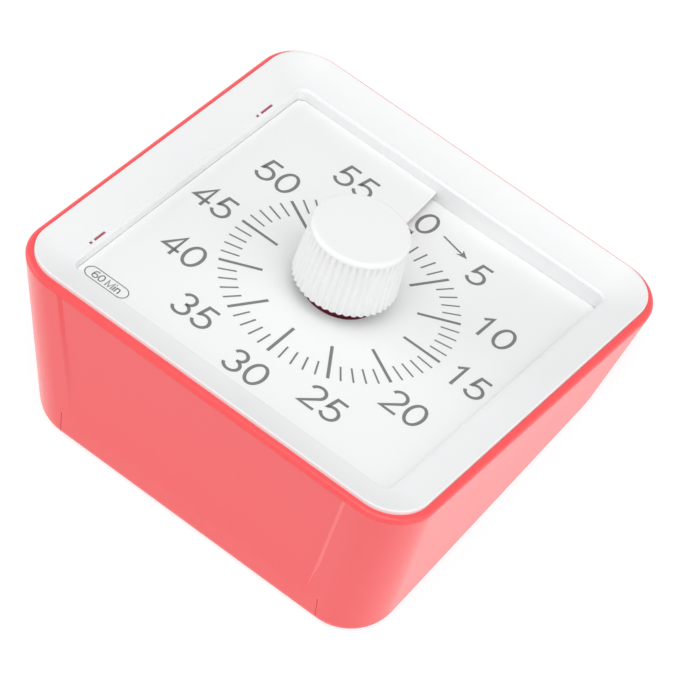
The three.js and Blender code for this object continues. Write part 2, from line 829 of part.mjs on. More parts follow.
// A toothed outline with a tooth centred on the given bearing
function gearOutline(teeth, module, bearing) {
  const pitch = 360 / teeth;
  const crest = pitchRadius(teeth, module) + addendumShare * module;
  const root = pitchRadius(teeth, module) - dedendumShare * module;
  const points = [];
  for (let tooth = 0; tooth < teeth; tooth++) {
    for (const [turnShare, radius] of [[0, crest], [toothRootShare, root]]) {
      const angle = radians(bearing + (tooth + turnShare) * pitch);
      points.push([radius * Math.cos(angle), radius * Math.sin(angle)]);
    }
  }
  return polygon(points);
}

function wheelBlank(teeth, module, bearing, level, thick) {
  return prism(gearOutline(teeth, module, bearing), -level - thick / 2, -level + thick / 2);
}

function gapBearing(bearing, teeth) {
  return bearing + 180 + 180 / teeth;
}

function makeCentreWheel() {
  const wheel = wheelBlank(centreTeeth, centreModule, thirdBearing, centreWheelLevel, wheelThick);
  const hole = rod(spindleNeck + fit, -centreWheelLevel - wheelThick, -centreWheelLevel + wheelThick);
  return wheel.subtract(hole);
}

function arbor() {
  return rod(arborRadius, lidTop - fit, housingTop - caseSkin + fit, 0, 0, cornerSteps * 2);
}

function makeThirdWheel() {
  const pinion = wheelBlank(thirdPinionTeeth, centreModule, gapBearing(thirdBearing, thirdPinionTeeth),
    centreWheelLevel, pinionThick);
  const wheel = wheelBlank(thirdTeeth, trainModule, secondBearing, thirdWheelLevel, wheelThick);
  return arbor().add(pinion).add(wheel);
}

function makeSecondWheel() {
  const pinion = wheelBlank(secondPinionTeeth, trainModule, gapBearing(secondBearing, secondPinionTeeth),
    thirdWheelLevel, pinionThick);
  const wheel = wheelBlank(secondTeeth, trainModule, rotorBearing, secondWheelLevel, wheelThick);
  return arbor().add(pinion).add(wheel);
}

const magnetTop = -secondWheelLevel - pinionThick / 2 + fit / 2;

function makeRotor() {
  const pinion = wheelBlank(rotorPinionTeeth, trainModule, gapBearing(rotorBearing, rotorPinionTeeth),
    secondWheelLevel, pinionThick);
  return arbor().add(pinion).add(rod(magnetRadius, magnetTop - magnetHeight, magnetTop));
}

// Three bowed legs press the centre wheel against the spindle's shoulder
function makeClutchSpring() {
  const top = -centreWheelLevel - wheelThick / 2 - fit;
  let solid = rod(spindleNeck + fit + clutchLegWidth, top - clutchThick, top);
  for (let leg = 0; leg < clutchLegs; leg++) {
    const arm = new THREE.BoxGeometry(clutchReach, clutchLegWidth, clutchThick);
    arm.translate(clutchReach / 2 + spindleNeck + fit, 0, top - clutchThick / 2);
    solid = solid.add(toSolid(arm.rotateZ(leg / clutchLegs * 2 * Math.PI)));
  }
  return solid.subtract(rod(spindleNeck + fit, top - overrun, top + overrun));
}

const statorLevel = magnetTop - magnetHeight / 2;

function makeStator() {
  const [x, y] = rotorAxis;
  const top = statorLevel + statorThick / 2;
  const bottom = statorLevel - statorThick / 2;
  const legFoot = y - statorHalf;
  const legHead = y + coilLength + coilCheek * 2 + statorLegWidth;
  const reach = coilX + coilCore;
  const plate = block(x - statorHalf, x + statorHalf, y - statorHalf, y + statorHalf, bottom, top);
  const foot = block(x, reach, legFoot, legFoot + statorLegWidth, bottom, top);
  const side = block(x - statorHalf, x - statorHalf + statorLegWidth, y, legHead, bottom, top);
  const head = block(x - statorHalf, reach, legHead - statorLegWidth, legHead, bottom, top);
  const bore = rod(magnetRadius + fit, bottom - overrun, top + overrun, x, y);
  return plate.add(foot).add(side).add(head).subtract(bore);
}

function makeCoil() {
  const [, y] = rotorAxis;
  const start = y - statorHalf + statorLegWidth + fit;
  const end = start + coilLength;
  const profile = [
    [coilCore, start],
    [coilRadius, start],
    [coilRadius, start + coilCheek],
    [coilRadius - coilCheek / 2, start + coilCheek],
    [coilRadius - coilCheek / 2, end - coilCheek],
    [coilRadius, end - coilCheek],
    [coilRadius, end],
    [coilCore, end],
  ];
  const points = [...profile, profile[0]].map(([radius, z]) => new THREE.Vector2(radius, z));
  return toSolid(new THREE.LatheGeometry(points, roundSteps).translate(coilX, 0, statorLevel));
}

// Circuit board and crystal hang on the carrier's posts
const boardTop = carrierFoot - boardPostHeight - fit;

function makeBoard() {
  return block(boardLeft, boardRight, boardLow, boardHigh, boardTop - boardThick, boardTop);
}

function makeCrystal() {
  const middle = (boardLeft + boardRight) / 2;
  const [left, right] = [middle - crystalLength / 2, middle + crystalLength / 2];
  const z = boardTop - boardThick - fit - crystalRadius;
  return rodAlongX(crystalRadius, left, right, (boardLow + boardHigh) / 2, z);
}

// Pieces on the back, modelled on the back plane
function coverScrew(x, y) {
  const headFoot = coverFace + counterbore;
  const head = rod(screwHead, headFoot, headFoot + screwHeadThick - fit, x, y);
  return head.add(rod(screwShank, headFoot, bossTop - screwSocket - fit, x, y));
}

function wellOutline(wall) {
  const radius = batteryRadius + fit + wall;
  const shape = new THREE.Shape();
  shape.moveTo(batteryY - radius, 0);
  shape.lineTo(batteryY + radius, 0);
  shape.absarc(batteryY, batteryZ, radius, 0, Math.PI);
  return shape;
}

function makeBackCover() {
  const outline = roundedOutline(-coverHalf, coverHalf, coverFoot, coverTop, coverCorner);
  const plate = prism(outline, coverFace, coverInside);
  const well = sweepAlongX(wellOutline(wellWall), -wellHalf - wellWall, wellHalf + wellWall).intersect(
    block(-farAway, farAway, -farAway, farAway, coverInside - overrun, farAway),
  );
  const flangeHalfX = openingHalf - fit;
  const flangeFoot = batteryY - wellOuter;
  const flangeEnd = coverScrewLow - bossRadius - fit;
  const flange = prism(
    roundedOutline(-flangeHalfX, flangeHalfX, flangeFoot, flangeEnd, coverCorner - seatWidth),
    coverInside,
    seatInside - fit,
  );
  const doorWay = block(-doorGap, doorGap, -farAway, doorEnd + fit, -overrun, coverInside);
  const cavity = sweepAlongX(wellOutline(0), -wellHalf, wellHalf);
  let solid = plate.add(well).add(flange);
  const ringBore = buzzerRadius + fit;
  const ringTop = coverInside + buzzerRingHeight;
  const ring = rod(ringBore + buzzerRing, coverInside - overrun, ringTop, 0, buzzerY, fineSteps);
  const bore = rod(ringBore, coverInside, ringTop + overrun, 0, buzzerY, fineSteps);
  solid = solid.add(ring.subtract(bore));
  solid = solid.subtract(doorWay).subtract(cavity);
  for (const side of [-1, 1]) {
    const rail = [side * doorHalf, side * (doorGap + lugReach)].sort((a, b) => a - b);
    const railEnd = lugStart + lugLength + fit;
    const entryEnd = grooveFoot + lugLength + fit * 2;
    solid = solid.subtract(block(...rail, grooveFoot, railEnd, coverFace + grooveSkin, coverInside));
    solid = solid.subtract(block(...rail, grooveFoot, entryEnd, -overrun, coverInside));
  }
  for (const [x, y] of coverScrews) {
    solid = solid.subtract(rod(screwShank + fit, -overrun, seatInside + overrun, x, y));
    solid = solid.subtract(rod(screwHead + fit, -overrun, coverFace + counterbore + screwHeadThick, x, y));
  }
  for (let slot = 0; slot < soundSlots; slot++) {
    const y = buzzerY + (slot - (soundSlots - 1) / 2) * soundSlotPitch;
    const half = soundSlotWidth / 2;
    const [low, high] = [-overrun, coverInside + overrun];
    solid = solid.subtract(block(-soundSlotHalf, soundSlotHalf, y - half, y + half, low, high));
  }
  const slotHalf = sliderHalfX + sliderTravel + fit;
  const channel = block(
    switchX - slotHalf,
    switchX + slotHalf,
    switchY - sliderHalfY - fit,
    switchY + sliderHalfY + fit,
    -overrun,
    coverInside + overrun,
  );
  return solid.subtract(channel);
}

function makeBatteryDoor() {
  const doorInside = coverFace + doorThick;
  const lipAt = (z) => wallSlope * z + lipThick;
  const outline = polygon([
    [-farAway, coverFace],
    [doorEnd, coverFace],
    [doorEnd, doorInside],
    [lipAt(doorInside), doorInside],
    [lipAt(lipRise), lipRise],
    [-farAway, lipRise],
  ]);
  let solid = outerForm().intersect(sweepAlongX(outline, -doorHalf, doorHalf));
  for (const side of [-1, 1]) {
    const lug = [side * (doorHalf - lugReach), side * (doorHalf + lugReach)].sort((a, b) => a - b);
    solid = solid.add(block(...lug, lugStart, lugStart + lugLength, doorInside - lugThick, doorInside));
  }
  return solid;
}

const nubEnd = wellHalf - contactThick - fit * 2;
const cellEnd = springSpace - wellHalf;

function makeBattery() {
  const cell = rodAlongX(batteryRadius, cellEnd, nubEnd - nubLength, batteryY, batteryZ, fineSteps);
  return cell.add(rodAlongX(nubRadius, nubEnd - nubLength * 2, nubEnd, batteryY, batteryZ));
}

function makeContact() {
  const left = wellHalf - contactThick - fit;
  return block(left, left + contactThick, batteryY - contactHalf, batteryY + contactHalf,
    batteryZ - contactHalf, batteryZ + contactHalf);
}

// A conical spring presses on the battery's flat end
class ConeHelix extends THREE.Curve {
  getPoint(share) {
    const start = -wellHalf + fit + wireRadius;
    const end = cellEnd - fit - wireRadius;
    const turn = share * springTurns * 2 * Math.PI;
    const radius = THREE.MathUtils.lerp(springFoot, springTip, share);
    return new THREE.Vector3(
      THREE.MathUtils.lerp(start, end, share),
      batteryY + radius * Math.cos(turn),
      batteryZ + radius * Math.sin(turn),
    );
  }
}

function makeSpring() {
  const wire = new THREE.Shape().absarc(0, 0, wireRadius, 0, 2 * Math.PI);
  const wirePoints = wire.getSpacedPoints(springSides).slice(0, springSides);
  const section = polygon(wirePoints.map((point) => [point.x, point.y]));
  const steps = springTurns * springStepsPerTurn;
  return toSolid(new THREE.ExtrudeGeometry(section, { steps, extrudePath: new ConeHelix() }));
}

function makeBuzzer() {
  const foot = coverInside + fit;
  return rod(buzzerRadius, foot, foot + buzzerHeight, 0, buzzerY, fineSteps)
    .subtract(rod(buzzerPort, foot - overrun, foot + buzzerHeight / 2, 0, buzzerY));
}

function makeSwitch() {
  const foot = coverInside + fit;
  const body = block(
    switchX - switchHalfX,
    switchX + switchHalfX,
    switchY - switchHalfY,
    switchY + switchHalfY,
    foot,
    foot + switchHeight,
  );
  const slotHalf = sliderHalfX + sliderTravel + fit;
  const channelHalf = sliderHalfY + fit;
  const channel = block(
    switchX - slotHalf,
    switchX + slotHalf,
    switchY - channelHalf,
    switchY + channelHalf,
    foot - overrun,
    foot + switchChannel,
  );
  return body.subtract(channel);
}

function makeSlider() {
  const top = coverInside + switchChannel;
  return block(
    switchX - sliderHalfX,
    switchX + sliderHalfX,
    switchY - sliderHalfY,
    switchY + sliderHalfY,
    sliderSink,
    top,
  );
}

// Finishes
function finish(color, roughness, metalness = 0) {
  return new THREE.MeshStandardMaterial({ color, roughness, metalness });
}

const coral = finish('#ff6462', 0.25);
const white = finish('#f3f4f5', 0.4);
const maroon = finish('#a8405c', 0.4);
const innerGrey = finish('#c9cbcd', 0.55);
const steel = finish('#b8babd', 0.3, 1);
const brass = finish('#c9a24e', 0.35, 1);
const copper = finish('#b8623a', 0.4, 1);
const green = finish('#2f6b45', 0.5);
const black = finish('#26272a', 0.5);
const cellGrey = finish('#8d9196', 0.4);

const assembly = new THREE.Group();
const dial = new THREE.Group();
dial.applyMatrix4(dialToBack);
assembly.add(dial);

function place(name, solid, material, frame, [x, y] = [0, 0]) {
  const mesh = new THREE.Mesh(toGeometry(solid), material);
  mesh.name = name;
  mesh.position.set(x, y, 0);
  frame.add(mesh);
}

place('body_shell', makeCase(), coral, assembly);
place('bezel', makeBezel(), white, dial);
place('dial_plate', makeDialPlate(), white, dial);
place('time_disc', makeTimeDisc(), maroon, dial);
place('knob', makeKnob(), white, dial);
place('spindle', makeSpindle(), steel, dial);
place('dial_carrier', makeCarrier(), innerGrey, dial);
place('movement_case', makeHousing(), black, dial);
place('movement_lid', makeLid(), black, dial);
place('centre_wheel', makeCentreWheel(), brass, dial);
place('clutch_spring', makeClutchSpring(), steel, dial);
place('third_wheel', makeThirdWheel(), brass, dial, thirdAxis);
place('second_wheel', makeSecondWheel(), brass, dial, secondAxis);
place('rotor', makeRotor(), steel, dial, rotorAxis);
place('stator', makeStator(), steel, dial);
place('coil', makeCoil(), copper, dial);
place('circuit_board', makeBoard(), green, dial);
place('quartz_crystal', makeCrystal(), steel, dial);
frameCorners.forEach(([sideX, sideY], i) => {
  const screw = smallScrew(sideX * blockPlace, sideY * blockPlace, carrierFoot - fit, carrierPilot);
  place(`carrier_screw_${i + 1}`, screw, steel, dial);
});
[-1, 1].forEach((side, i) => {
  const screw = smallScrew(side * earX, 0, earTop - earThick - fit, carrierPilot);
  place(`movement_screw_${i + 1}`, screw, steel, dial);
});
place('back_cover', makeBackCover(), coral, assembly);
coverScrews.forEach(([x, y], i) => place(`cover_screw_${i + 1}`, coverScrew(x, y), steel, assembly));
place('battery_door', makeBatteryDoor(), coral, assembly);
place('battery', makeBattery(), cellGrey, assembly);
place('battery_contact', makeContact(), steel, assembly);
place('battery_spring', makeSpring(), steel, assembly);
place('buzzer', makeBuzzer(), black, assembly);
place('volume_switch', makeSwitch(), steel, assembly);
place('volume_slider', makeSlider(), black, assembly);

// The origin is at the middle of the footprint, on the surface that the timer lies on
const bounds = new THREE.Box3().setFromObject(assembly, true);
const middle = bounds.getCenter(new THREE.Vector3());
assembly.position.set(-middle.x, -middle.y, -bounds.min.z);

const timer = new THREE.Group();
timer.add(assembly);

export default timer;
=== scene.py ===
"""Looks of the visual countdown timer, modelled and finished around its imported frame.

Lengths are metres, as everywhere in Blender. The dial frame has x to the right, y up the dial and
z out of it, with z = 0 at the front edge of the white bezel. The row frame is the frame's own.
"""
import json
import math

import bmesh
import bpy
from bpy.props import FloatProperty, FloatVectorProperty, IntProperty, PointerProperty
from bpy.types import Operator, Panel, PropertyGroup
from mathutils import Matrix, Vector


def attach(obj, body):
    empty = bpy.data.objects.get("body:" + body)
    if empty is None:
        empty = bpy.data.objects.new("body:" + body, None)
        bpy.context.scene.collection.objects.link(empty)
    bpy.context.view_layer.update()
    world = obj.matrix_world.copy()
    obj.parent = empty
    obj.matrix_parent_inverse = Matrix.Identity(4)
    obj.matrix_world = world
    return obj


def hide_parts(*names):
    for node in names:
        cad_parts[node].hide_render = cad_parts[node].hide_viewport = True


bl_info = {
    "name": "Visual countdown timer",
    "version": (1, 0, 0),
    "blender": (4, 5, 0),
    "location": "View3D > Sidebar > Timer",
    "description": "Models and finishes a wedge-shaped countdown timer around its packed frame",
    "category": "Object",
}

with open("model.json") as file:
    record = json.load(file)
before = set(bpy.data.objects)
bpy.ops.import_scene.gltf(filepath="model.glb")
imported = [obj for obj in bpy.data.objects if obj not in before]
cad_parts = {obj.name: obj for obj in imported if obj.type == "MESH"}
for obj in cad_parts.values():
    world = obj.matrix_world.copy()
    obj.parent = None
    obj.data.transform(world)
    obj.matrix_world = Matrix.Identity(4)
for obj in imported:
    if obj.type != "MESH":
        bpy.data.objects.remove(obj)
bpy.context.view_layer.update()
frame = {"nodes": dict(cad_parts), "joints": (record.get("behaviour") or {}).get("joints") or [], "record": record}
MM = 0.001
MERGE = 0.002 * MM
SMOOTH_ANGLE = 32
SHARP_ANGLE = 40

# The dial frame, from the knob's joint: its axis points into the dial
KNOB_JOINT = next(joint for joint in frame["joints"] if joint["name"] == "knob_turn")
DIAL_NORMAL = -Vector(KNOB_JOINT["axis"]).normalized()
DIAL_TILT = math.atan2(DIAL_NORMAL.y, DIAL_NORMAL.z)
DIAL = Matrix.Translation(KNOB_JOINT["pos_m"]) @ Matrix.Rotation(-DIAL_TILT, 4, "X")

# Case walls, ruled from the rim to the flat back
RIM_DEPTH = 1.6 * MM
RIM_ROUND = 0.85 * MM
TOP_CORNER_GROWTH = 0.13
BACK_DEPTH = 31.3 * MM
BACK_ROUND = 2.2 * MM
CASE_WALL = 2.2 * MM
CORNER_STEPS = 14
ROUND_STEPS = 6
POCKET_INSET = 1.3 * MM
POCKET_DEPTH = 3.3 * MM
FLANGE_INSET = 3.5 * MM
FLANGE_FOOT = 5.5 * MM
SEAM_ROUND = 0.06 * MM
GROOVE_DEPTH = 0.07 * MM
GROOVE_WIDTH = 0.2 * MM
GROOVE_GAP = 0.15 * MM
CASE_SMOOTH_ANGLE = 18

# The seat of the back cover, measured on the back plane from the case's base edge
COVER_HALF = 33.3 * MM
COVER_LOW = 2.7 * MM
COVER_HIGH = 70 * MM
COVER_CORNER = 5.3 * MM
SEAT_HALF = 30.5 * MM
SEAT_LOW = 4.6 * MM
SEAT_HIGH = 67.2 * MM
SEAT_CORNER = 2.5 * MM
SEAT_FACE = 2.6 * MM
SEAT_INSIDE = 4.1 * MM
DOOR_HALF = 28.3 * MM
DOOR_GAP = 0.09 * MM
DOOR_SEAM = 0.02 * MM
DOOR_END = 23.7 * MM
DOOR_FACE = 0.3 * MM
DOOR_THICK = 1.7 * MM
LIP_RISE = 7.76 * MM
LIP_THICK = 1.9 * MM
DOOR_OVERREACH = 10 * MM

# Shallow panel in the base wall
PANEL_TOP_HALF = 30.7 * MM
PANEL_FOOT_HALF = 26.5 * MM
PANEL_TOP_DEPTH = 2.0 * MM
PANEL_FOOT_DEPTH = 35.0 * MM
PANEL_RUN_OUT = 9.0 * MM
PANEL_SINK = 0.42 * MM
PANEL_SLOPE = 0.75 * MM
PANEL_CLEAR = 0.02 * MM

# Bezel
WINDOW_HALF = 33.75 * MM
WINDOW_CORNER = 1.6 * MM
WALL_TOP = -2.85 * MM
LEDGE_WIDTH = 0.6 * MM
LEDGE_LEVEL = -2.62 * MM
LEDGE_STEP = 0.14 * MM
DISH_SAG = 0.18 * MM
BEZEL_EDGE = 0.18 * MM
BEZEL_FOOT = -8.9 * MM
BEZEL_SKIRT = -3.0 * MM
BEZEL_WALL = 1.2 * MM
EDGE_SOFT = 0.16 * MM
SLOT_X = -34.72 * MM
SLOT_WIDTH = 0.46 * MM
SLOT_SINK = 0.06 * MM
SLOT_DEPTH = 0.9 * MM
SLOT_SPANS = ((20.7 * MM, 21.4 * MM), (22.1 * MM, 25.5 * MM), (-27.8 * MM, -27.1 * MM), (-26.5 * MM, -23.5 * MM))
TAB_SOFT = 0.03 * MM

# Dial plate, dipped just past the slit
PLATE_LEVEL = -4.85 * MM
PLATE_THICK = 0.5 * MM
SLIT_STEP = 2.06 * MM
DIP_FADE = 75
DIP_POWER = 1.4
SLIT_ANGLE = -4.7
SLIT_LAP = 3
PLATE_HOLE = 6.8 * MM
PLATE_STEPS = 240
PLATE_GAP = 0.05 * MM
PLATE_SOFT = 0.06 * MM
NOTCH_REACH = 24.2 * MM
NOTCH_LEFT = -4.2 * MM
NOTCH_RIGHT = -0.48 * MM

# Time disc: one turn of a helix
DISC_LEVEL = -5.9 * MM
DISC_LEAD = 3 * MM
DISC_THICK = 0.3 * MM
DISC_HIDE = 2
DISC_ROOT = 3.35 * MM
DISC_STEPS = 180
COLLAR_RADIUS = 4.4 * MM
COLLAR_BASE = -8.9 * MM
COLLAR_TOP = -5.3 * MM
COLLAR_EDGE = 0.2 * MM
COLLAR_STEPS = 64
SPINDLE_BORE = 2.3 * MM

# Knob
KNOB_BASE = -1.8 * MM
KNOB_TOP = 10.2 * MM
KNOB_ROUND = 0.8 * MM
KNOB_BAND = 0.35 * MM
KNOB_WALL = 1.6 * MM
KNOB_ROOF = 8 * MM
KNOB_EDGE = 0.1 * MM
KNOB_SMOOTH_ANGLE = 50
RIB_POINTS = 8

# Screws of the back cover
COVER_SCREWS = 4
CROSS_REACH = 1.25 * MM
CROSS_HALF = 0.3 * MM
CROSS_DEPTH = 0.7 * MM
SCREW_SOFT = 0.08 * MM
SCREW_BEVEL_ANGLE = 60

# Printing
INK_LIFT = 0.015 * MM
INK_THICK = 0.02 * MM
INK_WELD = 0.001 * MM
TICK_OUTER = 21.7 * MM
TICK_INNER = 18.34 * MM
LONG_TICK_INNER = 13.9 * MM
TICK_WIDTH = 0.33 * MM
LONG_TICK_WIDTH = 0.58 * MM
DIGIT_STROKE = 0.62 * MM
DIGIT_HEIGHT = 5.75 * MM
NUMERAL_RADIUS = 27.75 * MM
GLYPH_GAP = 0.1
ARROW_TAIL = (3.82 * MM, 27.47 * MM)
ARROW_TIP = (10.03 * MM, 25.75 * MM)
ARROW_WIDTH = 0.36 * MM
BARB_BACK = 2.0 * MM
BARB_HALF = 0.95 * MM
BARB_NOTCH = 1.35 * MM
BADGE_CENTRE = (-28.2 * MM, -30.5 * MM)
BADGE_HALF = 4.45 * MM
BADGE_RADIUS = 1.4 * MM
BADGE_LINE = 0.19 * MM
BADGE_TEXT = 1.75 * MM
BADGE_STROKE = 0.23 * MM

# Each lamp's azimuth from the front and height above the floor, in degrees
LAMPS = {"top_lamp": (90, 80), "front_lamp": (25, 25), "left_lamp": (-70, 25), "right_lamp": (100, 25)}
FLOOR_SIZE = 4


def deselect():
    if bpy.context.object and bpy.context.object.mode != "OBJECT":
        bpy.ops.object.mode_set(mode="OBJECT")
    bpy.ops.object.select_all(action="DESELECT")


def activate(piece):
    deselect()
    piece.select_set(True)
    bpy.context.view_layer.objects.active = piece
    return piece


def dial_point(x, y, z):
    return DIAL @ Vector((x, y, z))


def apply_modifier(piece, kind, **settings):
    activate(piece)
    bpy.ops.object.modifier_add(type=kind)
    modifier = piece.modifiers[-1]
    for key, value in settings.items():
        setattr(modifier, key, value)
    bpy.ops.object.modifier_apply(modifier=modifier.name)


def cut(piece, cutter, operation="DIFFERENCE"):
    apply_modifier(piece, "BOOLEAN", object=cutter, operation=operation, solver="EXACT")
    activate(cutter)
    bpy.ops.object.delete()


def outward(piece):
    activate(piece)
    bpy.ops.object.mode_set(mode="EDIT")
    bpy.ops.mesh.select_all(action="SELECT")
    bpy.ops.mesh.remove_doubles(threshold=MERGE)
    bpy.ops.mesh.normals_make_consistent(inside=False)
    bpy.ops.object.mode_set(mode="OBJECT")


def smooth(piece, angle=SMOOTH_ANGLE):
    activate(piece)
    bpy.ops.object.shade_smooth_by_angle(angle=math.radians(angle))
    apply_modifier(piece, "WEIGHTED_NORMAL", keep_sharp=True, weight=80)


def next_ring(mesh, order, points):
    """Moves the ring that was just extruded from the vertices in order to its points."""
    edit = bmesh.from_edit_mesh(mesh)
    edit.verts.ensure_lookup_table()
    fresh = []
    for index in order:
        corner = edit.verts[index]
        fresh.append(next(e.other_vert(corner) for e in corner.link_edges if e.other_vert(corner).select))
    for vertex, point in zip(fresh, points):
        vertex.co = point
    edit.verts.index_update()
    places = [vertex.index for vertex in fresh]
    bmesh.update_edit_mesh(mesh)
    return places


def lofted(name, rings, closed=False):
    """A skin through rings of points in the row frame, each extruded from the one before it."""
    deselect()
    bpy.ops.mesh.primitive_circle_add(vertices=len(rings[0]), radius=MM, fill_type="NOTHING")
    piece = bpy.context.object
    piece.name = name
    for vertex, point in zip(piece.data.vertices, rings[0]):
        vertex.co = point
    bpy.ops.object.mode_set(mode="EDIT")
    bpy.ops.mesh.select_mode(type="VERT")
    bpy.ops.mesh.select_all(action="SELECT")
    first = order = list(range(len(rings[0])))
    for points in rings[1:]:
        bpy.ops.mesh.extrude_region_move()
        order = next_ring(piece.data, order, points)
    if closed:
        select_vertices(piece.data, first + order)
        bpy.ops.mesh.bridge_edge_loops()
    else:
        bpy.ops.mesh.edge_face_add()
        select_vertices(piece.data, first)
        bpy.ops.mesh.edge_face_add()
    bpy.ops.object.mode_set(mode="OBJECT")
    outward(piece)
    return piece


def select_vertices(mesh, indices):
    bpy.ops.mesh.select_all(action="DESELECT")
    edit = bmesh.from_edit_mesh(mesh)
    edit.verts.ensure_lookup_table()
    for index in indices:
        edit.verts[index].select = True
    edit.select_flush(True)
    bmesh.update_edit_mesh(mesh)


def rounded_ring(low, high, radius, place, steps=CORNER_STEPS):
    """A rounded rectangle between two corners, placed by a function of x and y."""
    ring = []
    for corner in range(4):
        centre_x = high[0] - radius if corner in (0, 3) else low[0] + radius
        centre_y = high[1] - radius if corner < 2 else low[1] + radius
        for step in range(steps + 1):
            angle = (corner + step / steps) * math.pi / 2
            ring.append(place(centre_x + radius * math.cos(angle), centre_y + radius * math.sin(angle)))
    return ring


def square_ring(half, radius, z):
    return rounded_ring((-half, -half), (half, half), radius, lambda x, y: dial_point(x, y, z))


def box_between(name, low, high, matrix=None):
    """A cutting block between two corners of a frame."""
    deselect()
    bpy.ops.mesh.primitive_cube_add(size=1)
    block = bpy.context.object
    block.name = name
    middle = (Vector(low) + Vector(high)) / 2
    size = Vector(high) - Vector(low)
    block.data.transform((matrix or Matrix()) @ Matrix.Translation(middle) @ Matrix.Diagonal((*size, 1)))
    return block


def joined(name, pieces):
    activate(pieces[0])
    for piece in pieces:
        piece.select_set(True)
    bpy.ops.object.join()
    pieces[0].name = name
    return pieces[0]


def settle(piece, body, material, nodes=()):
    """Gives a piece its finish, hangs it on the body that carries it and hides the nodes that it stands for."""
    piece.data.materials.clear()
    piece.data.materials.append(material)
    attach(piece, body)
    if nodes:
        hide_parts(*nodes)


# Shader groups and finishes

def new_group(name, inputs, outputs):
    group = bpy.data.node_groups.new(name, "ShaderNodeTree")
    for label, value in inputs:
        socket = group.interface.new_socket(label, in_out="INPUT", socket_type="NodeSocketFloat")
        socket.default_value = value
    for label, kind in outputs:
        group.interface.new_socket(label, in_out="OUTPUT", socket_type=kind)
    return group, group.nodes.new("NodeGroupInput"), group.nodes.new("NodeGroupOutput")


def mould_grain():
    """Fine relief and a faint gloss variation of moulded plastic."""
    group, source, result = new_group(
        "mould_grain",
        (("Grain Scale", 9000.0), ("Grain Height", 0.000004), ("Gloss", 0.3), ("Gloss Spread", 0.04)),
        (("Normal", "NodeSocketVector"), ("Roughness", "NodeSocketFloat")),
    )
    nodes, links = group.nodes, group.links
    place = nodes.new("ShaderNodeTexCoord")
    grain = nodes.new("ShaderNodeTexNoise")
    grain.inputs["Detail"].default_value = 3
    links.new(place.outputs["Object"], grain.inputs["Vector"])
    links.new(source.outputs["Grain Scale"], grain.inputs["Scale"])
    relief = nodes.new("ShaderNodeBump")
    relief.inputs["Strength"].default_value = 0.6
    links.new(source.outputs["Grain Height"], relief.inputs["Distance"])
    links.new(grain.outputs["Fac"], relief.inputs["Height"])
    links.new(relief.outputs["Normal"], result.inputs["Normal"])
    patch = nodes.new("ShaderNodeTexNoise")
    patch.inputs["Scale"].default_value = 60
    patch.inputs["Detail"].default_value = 4
    links.new(place.outputs["Object"], patch.inputs["Vector"])
    centred = nodes.new("ShaderNodeMath")
    centred.operation = "SUBTRACT"
    centred.inputs[1].default_value = 0.5
    links.new(patch.outputs["Fac"], centred.inputs[0])
    spread = nodes.new("ShaderNodeMath")
    spread.operation = "MULTIPLY_ADD"
    links.new(centred.outputs[0], spread.inputs[0])
    links.new(source.outputs["Gloss Spread"], spread.inputs[1])
    links.new(source.outputs["Gloss"], spread.inputs[2])
    links.new(spread.outputs[0], result.inputs["Roughness"])
    return group


def tint_drift():
    """A slow, faint drift of a colour across a piece."""
    group, source, result = new_group(
        "tint_drift",
        (("Drift Scale", 25.0), ("Drift", 0.03)),
        (("Color", "NodeSocketColor"),),
    )
    socket = group.interface.new_socket("Base", in_out="INPUT", socket_type="NodeSocketColor")
    socket.default_value = (0.8, 0.8, 0.8, 1)
    nodes, links = group.nodes, group.links
    place = nodes.new("ShaderNodeTexCoord")
    cloud = nodes.new("ShaderNodeTexNoise")
    cloud.inputs["Detail"].default_value = 2
    links.new(place.outputs["Object"], cloud.inputs["Vector"])
    links.new(source.outputs["Drift Scale"], cloud.inputs["Scale"])
    amount = nodes.new("ShaderNodeMath")
    amount.operation = "MULTIPLY"
    links.new(cloud.outputs["Fac"], amount.inputs[0])
    links.new(source.outputs["Drift"], amount.inputs[1])
    shade = nodes.new("ShaderNodeMix")
    shade.data_type = "RGBA"
    shade.blend_type = "MULTIPLY"
    shade.inputs["B"].default_value = (0.0, 0.0, 0.0, 1)
    links.new(amount.outputs[0], shade.inputs["Factor"])
    links.new(source.outputs["Base"], shade.inputs["A"])
    links.new(shade.outputs["Result"], result.inputs["Color"])
    return group


def group_node(material, group, values):
    node = material.node_tree.nodes.new("ShaderNodeGroup")
    node.node_tree = group
    for label, value in values.items():
        node.inputs[label].default_value = value
    return node


def moulded(name, color, gloss, grain_scale=9000, grain_height=0.004 * MM, metallic=0.0, drift=0.03, spread=0.04,
            ior=1.46):
    """A moulded or plated finish with its own grain, gloss variation and tint drift."""
    material = bpy.data.materials.new(name)
    material.use_nodes = True
    nodes, links = material.node_tree.nodes, material.node_tree.links
    shader = nodes["Principled BSDF"]
    shader.inputs["Metallic"].default_value = metallic
    shader.inputs["IOR"].default_value = ior
    grain = group_node(material, GROUPS["mould_grain"], {
        "Grain Scale": grain_scale,
        "Grain Height": grain_height,
        "Gloss": gloss,
        "Gloss Spread": spread,
    })
    tint = group_node(material, GROUPS["tint_drift"], {"Drift": drift})
    tint.inputs["Base"].default_value = (*color, 1)
    links.new(grain.outputs["Normal"], shader.inputs["Normal"])
    links.new(grain.outputs["Roughness"], shader.inputs["Roughness"])
    links.new(tint.outputs["Color"], shader.inputs["Base Color"])
    return material


GROUPS = {}
FINISHES = {}


